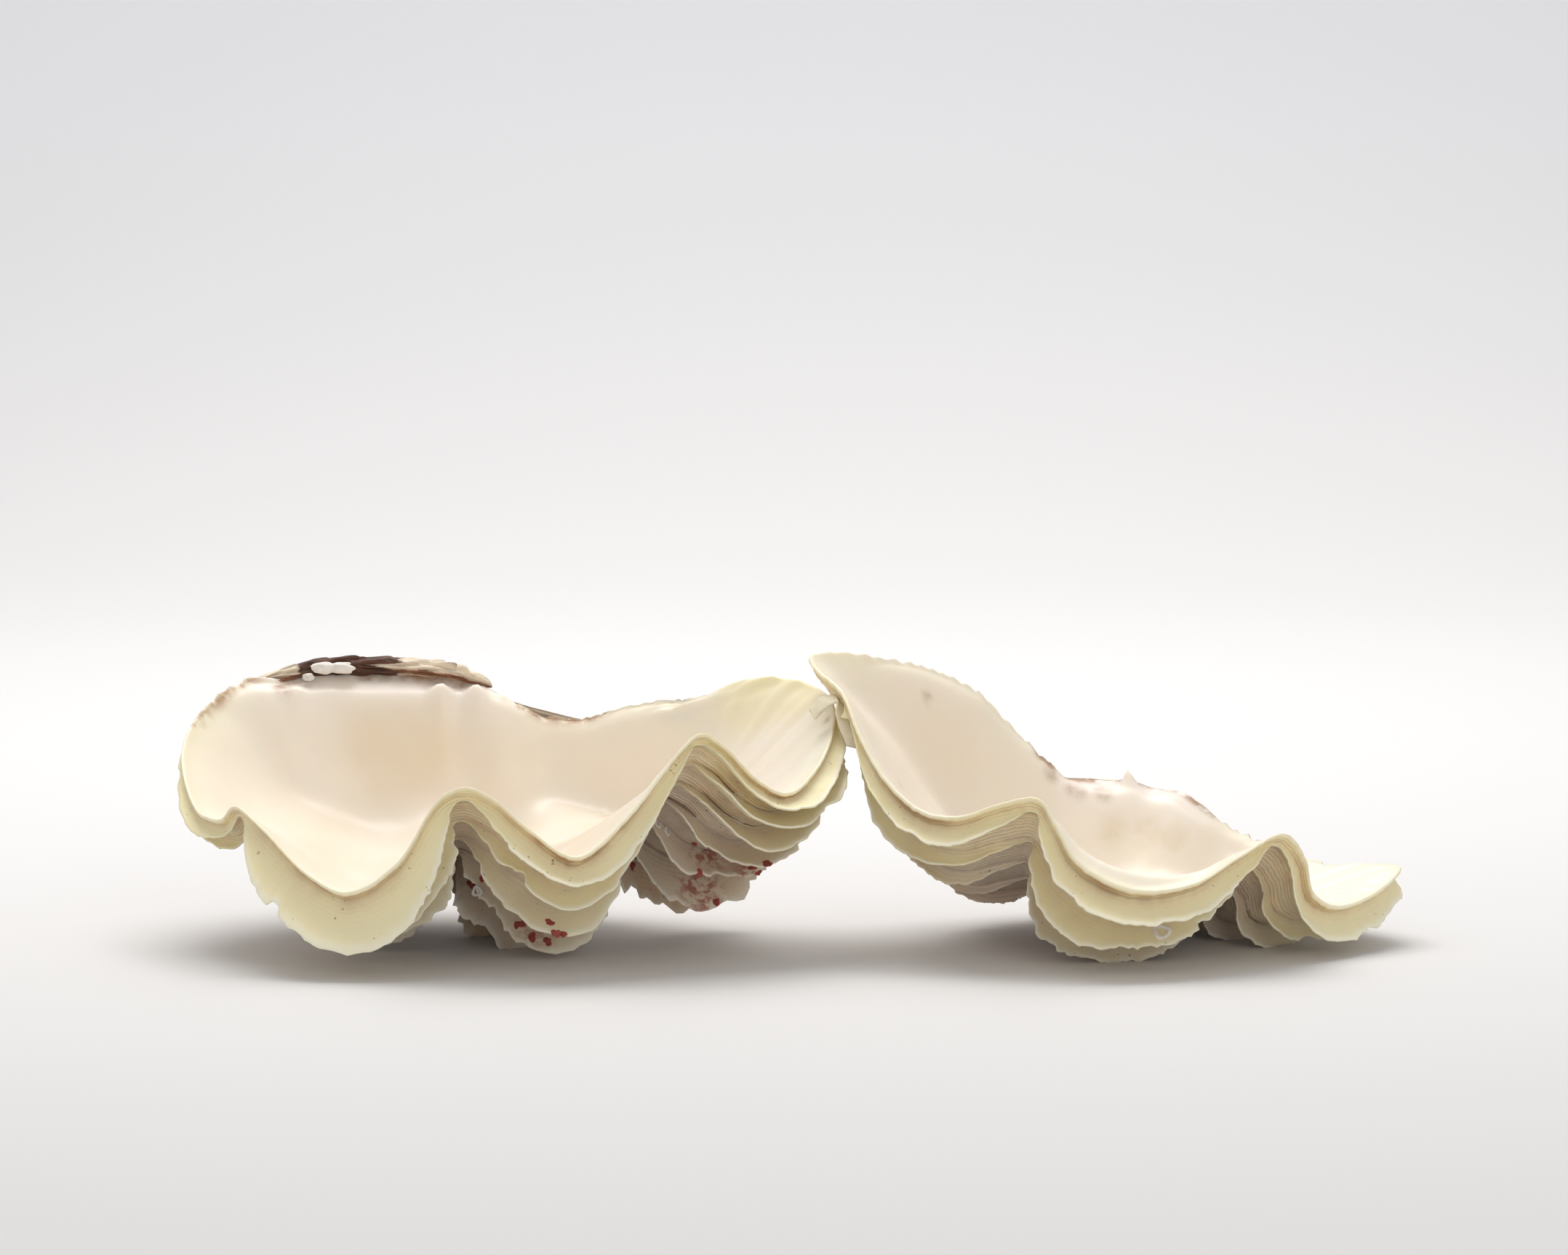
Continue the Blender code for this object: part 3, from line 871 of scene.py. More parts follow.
class Dressing:
    """A material being made."""

    def __init__(self, name: str) -> None:
        """A new material with a plain shader.

        Args:
            name: its name.
        """
        self.material = bpy.data.materials.new(name)
        self.material.use_nodes = True
        self.tree = self.material.node_tree
        self.shader = self.tree.nodes["Principled BSDF"]

    def node(self, kind: str, settings: dict, inputs: dict, output: object = 0) -> Shade:
        """Any node.

        Args:
            kind: the node's type.
            settings: its own settings, set first.
            inputs: its sockets by name or number, as numbers, colours or values.
            output: which output is taken.

        Returns:
            That output.
        """
        made = self.tree.nodes.new(kind)
        for name, value in settings.items():
            setattr(made, name, value)
        for name, value in inputs.items():
            self.feed(made.inputs[name], value)
        return Shade(self, made.outputs[output])

    def feed(self, socket: bpy.types.NodeSocket, value: object) -> None:
        """Links or sets one socket.

        Args:
            socket: the socket.
            value: a number, a colour or a value from another node.
        """
        if isinstance(value, Shade):
            self.tree.links.new(value.socket, socket)
        elif isinstance(value, tuple) and len(value) == 3 and socket.type == "RGBA":
            socket.default_value = (*value, 1.0)
        else:
            socket.default_value = value

    def mark(self, name: str) -> Shade:
        """A value carried by the mesh's points."""
        return self.node("ShaderNodeAttribute", {"attribute_name": name}, {}, "Fac")

    def place(self) -> Shade:
        """The place on the piece, in metres."""
        return self.node("ShaderNodeTexCoord", {}, {}, "Object")

    def noise(
        self, size_mm: float, detail: float = 3.0, rough: float = 0.55, warp: float = 0.0,
        squeeze: tuple = (1.0, 1.0, 1.0),
    ) -> Shade:
        """Cloudy noise.

        Args:
            size_mm: about the size of its clouds.
            detail: how many finer layers it has.
            rough: how strong those are.
            warp: how much it is stirred.
            squeeze: by how much it is pressed together along x, y and z.

        Returns:
            Its value, mostly 0.3 to 0.7.
        """
        place = self.place()
        if squeeze != (1.0, 1.0, 1.0):
            place = self.node("ShaderNodeVectorMath", {"operation": "MULTIPLY"}, {0: place, 1: squeeze})
        inputs = {
            "Vector": place, "Scale": 1.0 / (size_mm * MM), "Detail": detail, "Roughness": rough,
            "Distortion": warp,
        }
        return self.node("ShaderNodeTexNoise", {}, inputs, "Fac")

    def mix(self, low: object, high: object, share: object) -> Shade:
        """One colour turning into another."""
        settings = {"data_type": "RGBA", "clamp_factor": True}
        return self.node("ShaderNodeMix", settings, {0: share, 6: low, 7: high}, 2)

    def bump(self, height: Shade, depth_mm: float, strength: float = 1.0) -> Shade:
        """A bump of this depth."""
        inputs = {"Height": height, "Distance": depth_mm * MM, "Strength": strength}
        return self.node("ShaderNodeBump", {}, inputs, "Normal")

    def finish(self, **inputs: object) -> bpy.types.Material:
        """Sets the shader's sockets.

        Args:
            inputs: their values by name, with underscores for spaces.

        Returns:
            The material.
        """
        for name, value in inputs.items():
            self.feed(self.shader.inputs[name.replace("_", " ")], value)
        return self.material


@dataclass(frozen=True)
class ShellFinish:
    """Porcelain inside, pale scales outside, older and more soiled towards the umbo, with painted shade in
    the nooks.
    """

    ivory: tuple = (0.90, 0.81, 0.68)
    peach: tuple = (0.84, 0.69, 0.49)
    milk: tuple = (0.95, 0.90, 0.80)
    pearl: tuple = (0.88, 0.80, 0.72)
    straw: tuple = (0.90, 0.80, 0.51)
    chalk: tuple = (0.92, 0.89, 0.78)
    honey: tuple = (0.80, 0.62, 0.34)
    bone: tuple = (0.80, 0.69, 0.55)
    rose: tuple = (0.62, 0.46, 0.37)
    tan: tuple = (0.36, 0.20, 0.10)
    moss: tuple = (0.66, 0.52, 0.28)
    # brown-black: painted shade in the nooks, real colour on the growth lines and specks
    shade_and_grime: tuple = (0.19, 0.12, 0.075)
    crust: tuple = (0.33, 0.055, 0.035)

    def inside(self, made: "Dressing", clouds: "Shade", blotches: "Shade") -> "Shade":
        """Colours of the hollow: ivory and peach, milky towards the lip, with a few stains and one small
        painted shadow.

        Args:
            made: the material.
            clouds: its large noise.
            blotches: its middling noise.

        Returns:
            The colour.
        """
        rim = made.mark("rim")
        drift = made.noise(16.0, 2.0, 0.5, 0.6)
        warm = ((clouds - 0.40) * 1.7 + (drift - 0.5) * 0.5).clamped() * 0.6
        colour = made.mix(self.ivory, self.peach, warm)
        colour = made.mix(colour, self.peach, made.mark("blush") * (0.35 + drift * 0.5))
        colour = made.mix(colour, self.milk, made.mark("trough") * 0.85)
        colour = made.mix(colour, self.pearl, made.mark("hinge") * 0.7)
        sallow = rim * 0.6 * (1.0 - made.mark("hinge")) + made.mark("sallow") * (0.3 + blotches * 0.5)
        colour = made.mix(colour, self.straw, sallow.clamped())
        colour = made.mix(colour, self.moss, made.mark("mossy") * (blotches * 1.5 - 0.35).clamped())
        rusty = made.mark("rusty") * rim.between(0.45, 0.9) * blotches.between(0.36, 0.58)
        # this mark also holds a painted shadow under the broken flake
        stain_and_shadow = made.mark("stain_and_shadow") * (blotches * 2.4 - 0.55)
        return made.mix(colour, self.tan, (rusty + stain_and_shadow).clamped() * 0.9)

    def outside(self, made: "Dressing", clouds: "Shade", blotches: "Shade", lines: "Shade") -> "Shade":
        """Colours of the scales: straw yellow when young, bone and dull rose when old, and in the nooks
        painted crease shade mixed with soiling.

        Args:
            made: the material.
            clouds: its large noise.
            blotches: its middling noise.
            lines: its growth lines.

        Returns:
            The colour.
        """
        flare = made.mark("flare")
        nook = made.mark("nook")
        age = (made.mark("growth") * 0.011).clamped()
        # honey tint deepening in the nooks of young scales: painted crease shade
        warm = (nook * 1.2 * (1.0 - age * 2.2).clamped() * blotches).clamped()
        colour = made.mix(self.straw, self.honey, warm)
        older = (age * 2.6 + (blotches - 0.5) * 0.8 - flare * 0.3).clamped()
        colour = made.mix(colour, self.bone, older)
        colour = made.mix(colour, self.rose, ((clouds - 0.30) * age * 2.4).clamped() * 0.8)
        colour = made.mix(colour, self.chalk, flare.between(0.88, 1.0) * 0.45)
        # brown-black in the nooks: painted crease shade with some soiling; on the growth lines it is real
        # colour
        crease_shade_and_dirt = nook * (blotches * 1.5 - 0.30) + (lines - 0.4) * (1.0 - flare) * (0.12 + age * 0.5)
        colour = made.mix(colour, self.shade_and_grime, crease_shade_and_dirt.clamped() * 0.8)
        specks = made.noise(1.6, 2.0, 0.5).between(0.68, 0.73) * made.noise(14.0, 1.0).between(0.5, 0.6)
        colour = made.mix(colour, self.shade_and_grime, specks * 0.7)
        # the brown seam under the lip: a real brown line, deepened as painted shade in the crevice under the
        # lip
        seam = made.mark("seam")
        brown = seam ** 2.0 * (made.noise(11.0, 2.0).between(0.36, 0.62) * 0.9 + 0.25)
        # the mark mixed in here also holds a painted shadow under the broken flake
        colour = made.mix(colour, self.tan, (brown + made.mark("stain_and_shadow") * blotches * 1.4).clamped() * 0.85)
        patch = made.mark("crusty") * made.noise(3.2, 3.0, 0.6).between(0.42, 0.58)
        return made.mix(colour, self.crust, patch.clamped() * 0.75)

    def material(self, name: str) -> bpy.types.Material:
        """The valve's material.

        Args:
            name: its name.

        Returns:
            The material.
        """
        made = Dressing(name)
        hollow = made.mark("hollow")
        flare = made.mark("flare")
        clouds = made.noise(38.0, 2.0)
        blotches = made.noise(7.0, 4.0, 0.6)
        grain = made.noise(0.8, 3.0, 0.6)
        lines = ((made.mark("growth") * 4.0 + blotches * 7.0 + clouds * 9.0).sine() * 0.5 + 0.5) ** 2.0
        inside = self.inside(made, clouds, blotches)
        colour = made.mix(self.outside(made, clouds, blotches, lines), inside, hollow)
        rough = 0.66 - hollow * 0.36 - flare * 0.12 + (grain - 0.5) * 0.12
        bare = (1.0 - flare) ** 2.0
        outer = lines * bare * 0.5 + (grain * 0.35 + blotches * 0.8) * (bare * 0.75 + 0.25)
        relief = outer * (1.0 - hollow) + hollow * clouds * 0.35
        return made.finish(
            Base_Color=colour,
            Roughness=rough,
            Normal=made.bump(relief, 0.5, 0.8),
            Subsurface_Weight=0.2,
            Subsurface_Radius=(1.0, 0.62, 0.32),
            Subsurface_Scale=0.004,
            Specular_IOR_Level=0.45,
        )


@dataclass(frozen=True)
class HornFinish:
    """The dried ligament: near-black horn, brown where thin, with cream chalk at its ends and rust below."""

    horn: tuple = (0.035, 0.018, 0.012)
    brown: tuple = (0.22, 0.085, 0.04)
    cream: tuple = (0.80, 0.68, 0.52)
    rust: tuple = (0.36, 0.15, 0.07)

    def material(self, name: str) -> bpy.types.Material:
        """The ligament's material.

        Args:
            name: its name.

        Returns:
            The material.
        """
        made = Dressing(name)
        flakes = made.noise(2.0, 4.0, 0.65, 0.3, (0.35, 1.0, 1.0))
        streaks = made.noise(0.9, 3.0, 0.6, 0.0, (0.12, 1.0, 1.0))
        chalk = (made.mark("chalk") + (flakes - 0.5) * 0.9).between(0.42, 0.60)
        colour = made.mix(self.horn, self.brown, (streaks * 1.5 - 0.4).clamped())
        colour = made.mix(colour, self.cream, chalk)
        rust = (made.mark("rust") * (flakes + 0.35)).clamped()
        colour = made.mix(colour, self.rust, rust)
        return made.finish(
            Base_Color=colour,
            Roughness=0.55 + chalk * 0.25,
            Normal=made.bump(flakes * 0.7 + streaks * 0.5, 0.9, 0.9),
            Specular_IOR_Level=0.35,
        )


@dataclass(frozen=True)
class ChalkFinish:
    """Bare chalky stuff: the lump at the hinge, the broken flake, worm tubes and barnacles."""

    pale: tuple = (0.86, 0.83, 0.78)
    dull: tuple = (0.62, 0.54, 0.44)
    size: float = 2.0

    def material(self, name: str) -> bpy.types.Material:
        """The material.

        Args:
            name: its name.

        Returns:
            The material.
        """
        made = Dressing(name)
        flecks = made.noise(self.size, 4.0, 0.6)
        return made.finish(
            Base_Color=made.mix(self.pale, self.dull, (flecks * 1.8 - 0.65).clamped() * 0.8),
            Roughness=0.62 + flecks * 0.2,
            Normal=made.bump(flecks, 0.35, 0.8),
            Subsurface_Weight=0.12,
            Subsurface_Radius=(1.0, 0.7, 0.45),
            Subsurface_Scale=0.002,
            Specular_IOR_Level=0.4,
        )


@dataclass(frozen=True)
class ScaleFinish:
    """A thin bit of young scale, pale yellow with a beige face."""

    straw: tuple = (0.86, 0.78, 0.56)
    beige: tuple = (0.70, 0.61, 0.47)

    def material(self, name: str) -> bpy.types.Material:
        """The material.

        Args:
            name: its name.

        Returns:
            The material.
        """
        made = Dressing(name)
        clouds = made.noise(5.0, 3.0, 0.6)
        grain = made.noise(0.8, 3.0, 0.6)
        return made.finish(
            Base_Color=made.mix(self.straw, self.beige, (clouds * 2.0 - 0.6).clamped()),
            Roughness=0.5 + grain * 0.2,
            Normal=made.bump(clouds + grain * 0.3, 0.4, 0.8),
            Subsurface_Weight=0.2,
            Subsurface_Radius=(1.0, 0.62, 0.32),
            Subsurface_Scale=0.004,
        )


@dataclass(frozen=True)
class CrustFinish:
    """The dark red crust of a small sea animal."""

    red: tuple = (0.30, 0.035, 0.028)
    pale: tuple = (0.52, 0.16, 0.12)

    def material(self, name: str) -> bpy.types.Material:
        """The material.

        Args:
            name: its name.

        Returns:
            The material.
        """
        made = Dressing(name)
        pits = made.noise(0.5, 3.0, 0.6)
        return made.finish(
            Base_Color=made.mix(self.red, self.pale, (pits * 2.0 - 0.8).clamped()),
            Roughness=0.5 + pits * 0.3,
            Normal=made.bump(pits, 0.2, 0.8),
        )


@dataclass
class HingeLigament:
    """The dried ligament along the left valve's hinge, black between its chalky ends."""

    # x, y, z, half its depth, half its height, how chalky
    stations: tuple = (
        (-161.0, 46.0, 72.4, 1.2, 1.0, 1.0),
        (-154.0, 48.6, 73.6, 2.4, 2.2, 1.0),
        (-149.0, 50.0, 74.3, 3.0, 2.8, 0.8),
        (-144.5, 50.8, 76.0, 3.2, 2.4, 0.0),
        (-136.0, 51.2, 76.5, 3.6, 2.6, 0.0),
        (-129.0, 51.2, 76.5, 3.6, 2.5, 0.3),
        (-124.0, 51.2, 76.4, 3.6, 2.4, 0.7),
        (-113.0, 51.0, 75.9, 3.5, 2.4, 0.9),
        (-106.0, 50.6, 75.3, 3.3, 2.3, 1.0),
        (-100.0, 50.0, 74.0, 2.8, 2.1, 1.0),
        (-95.0, 49.4, 72.2, 2.0, 1.6, 1.0),
        (-90.0, 48.8, 70.2, 0.8, 0.8, 1.0),
    )
    columns: int = 40
    rings: int = 150

    def build(self) -> bpy.types.Object:
        """A rolled sheet laid along the hinge, its skin split lengthwise.

        Returns:
            The piece.
        """
        given = np.array(self.stations)
        along = np.linspace(0.0, 1.0, self.rings + 1)
        x = given[0, 0] + (given[-1, 0] - given[0, 0]) * along
        y, z, deep, tall, chalk = [np.interp(x, given[:, 0], given[:, k]) for k in range(1, 6)]
        ends = np.sqrt(np.clip(1.0 - (2.0 * along - 1.0) ** 20, 0.0, 1.0))
        turn = 2.0 * np.pi * np.arange(self.columns) / self.columns
        draw = np.random.default_rng(21)
        split = np.zeros((self.rings + 1, self.columns))
        for _ in range(26):
            waves, twist = draw.uniform(-7.0, 7.0), draw.integers(3, 14)
            phase = draw.uniform(0.0, 6.28)
            split += np.sin(waves * along[:, None] * 6.28 + twist * turn[None, :] + phase)
        size = 1.0 + 0.045 * split
        places = np.stack([
            x[:, None] + 0.25 * split * ends[:, None],
            y[:, None] + (deep * ends)[:, None] * size * np.cos(turn)[None, :],
            z[:, None] + (tall * ends)[:, None] * size * np.sin(turn)[None, :],
        ], axis=-1)
        front = np.clip(-np.cos(turn), 0.0, 1.0)[None, :]
        low = np.clip(0.35 - np.sin(turn), 0.0, 1.0)[None, :]
        black = smooth_step((x - -152.0) / 6.0) * (1.0 - smooth_step((x - -122.0) / 8.0))
        dark_top = black[:, None] * smooth_step((np.sin(turn) - 0.35) / 0.2)
        sheet = RolledSheet("ligament_band", self.columns, self.rings)
        sheet.move(places + CENTRING)
        sheet.mark("chalk", chalk[:, None] * (1.0 - 0.9 * low * front) * (1.0 - 0.8 * dark_top))
        sheet.mark("rust", smooth_step((np.abs(x - -133.0) - 12.0) / 8.0)[:, None] * front * low)
        return sheet.closed()


@dataclass
class Lump:
    """A small rounded lump: its middle and half sizes in mm, how rough it is, and a pinch across it."""

    name: str
    middle: tuple
    half: tuple
    seed: int
    rough: float = 0.12
    pinch: float = 0.0

    def build(self) -> bpy.types.Object:
        """A rolled sheet made a rough, pinched ball.

        Returns:
            The piece.
        """
        columns, rings = 36, 24
        sheet = RolledSheet(self.name, columns, rings)
        polar = np.pi * np.arange(rings + 1)[:, None] / rings
        turn = 2.0 * np.pi * np.arange(columns)[None, :] / columns
        ways = np.stack([
            np.broadcast_to(np.cos(polar), (rings + 1, columns)),
            np.sin(polar) * np.cos(turn), np.sin(polar) * np.sin(turn),
        ], axis=-1)
        draw = np.random.default_rng(self.seed)
        bumps = np.zeros(ways.shape[:2])
        for _ in range(16):
            bumps += np.sin(ways @ draw.uniform(-9.0, 9.0, 3) + draw.uniform(0.0, 6.28)) / 5.0
        size = 1.0 + self.rough * bumps - self.pinch * np.exp(-((ways[..., 0] / 0.12) ** 2))
        squared = np.sign(ways) * np.abs(ways) ** 0.8
        sheet.move(np.array(self.middle) + CENTRING + squared * np.array(self.half) * size[..., None])
        return sheet.closed()


@dataclass
class Growths:
    """Small things that grew on the shell: red crusts, worm tubes and barnacles, found by pixel."""

    finder: Finder

    def disc(self, pick: Pick, seed: int) -> bpy.types.Object:
        """A flat rough blob pressed on the shell.

        Args:
            pick: where it shows, and its size.
            seed: which shape it has.

        Returns:
            The blob.
        """
        place, normal = self.finder.hit(pick)
        bpy.ops.object.select_all(action="DESELECT")
        bpy.ops.mesh.primitive_ico_sphere_add(subdivisions=3, radius=1.0)
        blob = bpy.context.object
        turn = normal.to_track_quat("Z", "Y")
        draw = np.random.default_rng(seed)
        phases = draw.uniform(0.0, 6.28, 3)
        for vertex in blob.data.vertices:
            way = vertex.co.copy()
            angle = math.atan2(way.y, way.x)
            wide = 1.0 + 0.2 * math.sin(2 * angle + phases[0]) + 0.13 * math.sin(3 * angle + phases[1])
            wide += 0.08 * math.sin(5 * angle + phases[2])
            flat = Vector((way.x * wide * pick.size, way.y * wide * pick.size, way.z * 0.28))
            vertex.co = place + turn @ (flat * MM)
        return blob

    def ring(self, pick: Pick) -> bpy.types.Object:
        """A low ring, as a worm tube or barnacle leaves it.

        Args:
            pick: where it shows, and its size.

        Returns:
            The ring.
        """
        place, normal = self.finder.hit(pick)
        bpy.ops.object.select_all(action="DESELECT")
        bpy.ops.mesh.primitive_torus_add(
            major_segments=24, minor_segments=10,
            major_radius=pick.size * MM, minor_radius=0.38 * pick.size * MM,
        )
        tube = bpy.context.object
        turn = normal.to_track_quat("Z", "Y")
        for vertex in tube.data.vertices:
            angle = math.atan2(vertex.co.y, vertex.co.x)
            vertex.co = place + turn @ (vertex.co * (1.0 + 0.12 * math.sin(3.0 * angle + pick.px)))
        return tube

    def joined(self, name: str, pieces: list) -> bpy.types.Object:
        """One piece out of many small ones.

        Args:
            name: the piece's name.
            pieces: the small ones.

        Returns:
            The piece.
        """
        bpy.ops.object.select_all(action="DESELECT")
        for piece in pieces:
            piece.select_set(True)
        bpy.context.view_layer.objects.active = pieces[0]
        bpy.ops.object.join()
        whole = bpy.context.object
        whole.name = name
        whole.data.name = name
        whole.data.shade_smooth()
        return whole

    def crusts(self, picks: tuple) -> bpy.types.Object:
        """All the red crusts."""
        return self.joined("red_crusts", [self.disc(pick, k) for k, pick in enumerate(picks)])

    def tubes(self, picks: tuple) -> bpy.types.Object:
        """All the rings."""
        return self.joined("worm_tubes", [self.ring(pick) for pick in picks])


@dataclass
class BrokenFlake:
    """A bit of broken scale folded like a roof over the place where the valves touch."""

    studio: "Studio"
    # upper and lower edge: the pixel at which each place shows, and how far back it is, mm
    spans: tuple = (
        ((1113.0, 976.0, -9.0), (1121.0, 989.0, -12.0)),
        ((1121.0, 966.0, -9.0), (1131.0, 979.0, -13.0)),
        ((1130.0, 957.0, -9.0), (1142.0, 969.0, -14.0)),
        ((1150.0, 956.0, -10.0), (1152.0, 963.0, -15.0)),
        ((1163.0, 975.0, -13.0), (1149.0, 980.0, -15.5)),
        ((1174.0, 1000.0, -17.0), (1153.0, 1000.0, -17.0)),
        ((1186.0, 1030.0, -21.0), (1164.0, 1026.0, -20.0)),
    )
    wall: float = 0.6

    def placed(self) -> np.ndarray:
        """Works out where the two edges are.

        Returns:
            Places in mm, by span and edge.
        """
        made = np.zeros((len(self.spans), 2, 3))
        for j, span in enumerate(self.spans):
            for row, (px, py, back) in enumerate(span):
                eye, way = self.studio.ray(px, py)
                far = ((back + CENTRING[1]) * MM - eye.y) / way.y
                made[j, row] = np.array(eye + way * far) / MM
        return made

    def build(self) -> bpy.types.Object:
        """A grid laid between the two edges and given its thickness.

        Returns:
            The piece.
        """
        bpy.ops.object.select_all(action="DESELECT")
        bpy.ops.mesh.primitive_grid_add(x_subdivisions=48, y_subdivisions=8, size=2.0)
        flake = bpy.context.object
        flake.name = "broken_flake"
        flake.data.name = flake.name
        given = self.placed()
        shares = np.linspace(0.0, 1.0, len(given))
        for vertex in flake.data.vertices:
            along = (vertex.co.x + 1.0) / 2.0
            across = (vertex.co.y + 1.0) / 2.0
            ends = [[np.interp(along, shares, given[:, row, k]) for k in range(3)] for row in (0, 1)]
            place = np.array(ends[0]) * (1.0 - across) + np.array(ends[1]) * across
            place[2] += 0.3 * math.sin(along * 9.0) * across + 0.2 * math.sin(along * 31.0) * (1.0 - across)
            vertex.co = Vector(place * MM)
        solid = flake.modifiers.new("wall", "SOLIDIFY")
        solid.thickness = self.wall * MM
        solid.offset = 0.0
        bpy.ops.object.modifier_apply(modifier=solid.name)
        face_outwards(flake.data)
        flake.data.shade_smooth()
        return flake


@dataclass(frozen=True)
class Lamp:
    """A soft square light: its place and aim in metres, its side in metres, its watts and its colour."""

    name: str
    place: tuple
    aim: tuple
    size: float
    power: float
    colour: tuple


SHELL_MIDDLE = (0.0, 0.0, 0.03)
LAMPS = (
    Lamp("key", (-0.1, 0.30, 1.05), SHELL_MIDDLE, 0.8, 6.6, (1.0, 0.98, 0.96)),
    Lamp("front", (0.5, -1.6, 0.7), SHELL_MIDDLE, 0.8, 3.4, (1.0, 0.97, 0.93)),
    Lamp("back", (0.2, 1.0, 1.2), SHELL_MIDDLE, 0.8, 2.5, (1.0, 0.99, 0.98)),
    Lamp("backdrop", (0.0, 0.6, 1.7), (0.0, 2.3, 0.5), 1.5, 15.0, (0.98, 0.98, 1.0)),
)


@dataclass
class Studio:
    """A pale floor that sweeps up behind, soft lights and the camera where the photograph was taken."""

    distance: float = 1.5
    rise: float = math.radians(10.0)
    px_width: int = 2156
    px_height: int = 1725
    mm_per_px: float = 0.215
    origin_px: tuple = (1085.0, 1297.0)
    floor: tuple = (0.74, 0.73, 0.715)
    backdrop: tuple = (0.76, 0.765, 0.79)
    sky: tuple = (0.98, 0.98, 1.0)
    sky_strength: float = 0.58
    sweep_start: float = 0.9
    sweep_radius: float = 1.6

    def __post_init__(self) -> None:
        """Works out the camera's place, tilt and lens."""
        self.focal_px = self.distance * 1000.0 / self.mm_per_px
        below = math.atan((self.origin_px[1] - self.px_height / 2.0) / self.focal_px)
        self.tilt = self.rise - below
        aside = (self.origin_px[0] - self.px_width / 2.0) * self.mm_per_px * MM
        self.eye = Vector((
            CENTRING[0] * MM - aside,
            CENTRING[1] * MM - self.distance * math.cos(self.rise),
            CENTRING[2] * MM + self.distance * math.sin(self.rise),
        ))

    def add_camera(self) -> None:
        """The camera at the photograph's angle."""
        lens = bpy.data.cameras.new("camera")
        lens.sensor_width = 36.0
        lens.lens = self.focal_px * 36.0 / self.px_width
        lens.clip_end = 50.0
        camera = bpy.data.objects.new("camera", lens)
        camera.location = self.eye
        camera.rotation_euler = (math.pi / 2.0 - self.tilt, 0.0, 0.0)
        bpy.context.scene.collection.objects.link(camera)
        bpy.context.scene.camera = camera

    def ray(self, px: float, py: float) -> tuple:
        """The line of sight through a pixel of the photograph.

        Args:
            px: pixels from the left.
            py: pixels from the top.

        Returns:
            The eye and the direction.
        """
        ahead = Vector((0.0, math.cos(self.tilt), -math.sin(self.tilt)))
        above = Vector((0.0, math.sin(self.tilt), math.cos(self.tilt)))
        way = ahead + Vector((1.0, 0.0, 0.0)) * ((px - self.px_width / 2.0) / self.focal_px)
        way += above * ((self.px_height / 2.0 - py) / self.focal_px)
        return self.eye, way.normalized()

    def add_floor(self) -> bpy.types.Object:
        """The pale floor, swept up behind.

        Returns:
            The floor.
        """
        bpy.ops.object.select_all(action="DESELECT")
        bpy.ops.mesh.primitive_grid_add(x_subdivisions=2, y_subdivisions=120, size=12.0)
        floor = bpy.context.object
        floor.name = "floor"
        for vertex in floor.data.vertices:
            past = vertex.co.y - self.sweep_start
            if past > 0.0:
                angle = min(past / self.sweep_radius, math.pi / 2.0)
                over = max(past - self.sweep_radius * math.pi / 2.0, 0.0)
                vertex.co.y = self.sweep_start + self.sweep_radius * math.sin(angle)
                vertex.co.z = self.sweep_radius * (1.0 - math.cos(angle)) + over
        floor.data.shade_smooth()
        made = Dressing("floor")
        rise = made.node("ShaderNodeSeparateXYZ", {}, {"Vector": made.place()}, "Z")
        colour = made.mix(self.floor, self.backdrop, rise.between(0.0, 0.5))
        floor.data.materials.append(made.finish(Base_Color=colour, Roughness=0.8, Specular_IOR_Level=0.1))
        return floor

    def add_light(self, lamp: Lamp) -> None:
        """Adds a soft square light.

        Args:
            lamp: its place, aim, size, strength and colour.
        """
        data = bpy.data.lights.new(lamp.name, "AREA")
        data.shape = "SQUARE"
        data.size = lamp.size
        data.energy = lamp.power
        data.color = lamp.colour
        light = bpy.data.objects.new(lamp.name, data)
        light.location = lamp.place
        light.rotation_euler = (Vector(lamp.aim) - Vector(lamp.place)).to_track_quat("-Z", "Y").to_euler()
        bpy.context.scene.collection.objects.link(light)

    def light(self) -> None:
        """Soft light from above, some from all round, and one lamp for the backdrop."""
        world = bpy.data.worlds.new("studio")
        world.use_nodes = True
        shade = world.node_tree.nodes["Background"]
        shade.inputs["Color"].default_value = (*self.sky, 1.0)
        shade.inputs["Strength"].default_value = self.sky_strength
        bpy.context.scene.world = world
        for lamp in LAMPS:
            self.add_light(lamp)
        bpy.context.scene.view_settings.view_transform = "Standard"


# lengths go by rib from the back margin on: the margin, ribs 4, 3, 2 and 1
LEFT_FLARES = (
    Flare(2.0, 22.0, (1.0, 8.0, 8.5, 16.0, 5.0), (0.0, 0.0, 0.1, 0.45, 0.0)),
    Flare(7.0, 26.0, (1.0, 14.0, 9.5, 11.0, 5.5), (0.0, 0.0, 0.0, -0.5, 0.0)),
    Flare(13.0, 24.0, (1.0, 14.0, 12.0, 9.0, 0.2), (0.0, 0.0, 0.15, -0.6, 0.0)),
    Flare(20.0, 20.0, (1.5, 13.0, 13.0, 8.0, 0.2), (0.0, 0.0, 0.3, -0.4, 0.0)),
    Flare(29.0, 16.0, (2.0, 13.0, 15.0, 9.0, 6.5), (0.0, 0.0, 0.6, 0.0, 0.0)),
    Flare(40.0, 12.0, (2.0, 17.0, 13.0, 10.0, 6.0), (0.0, 0.0, 0.7, 0.0, 0.0)),
    Flare(54.0, 10.0, (2.0, 18.0, 10.0, 9.0, 5.0)),
)
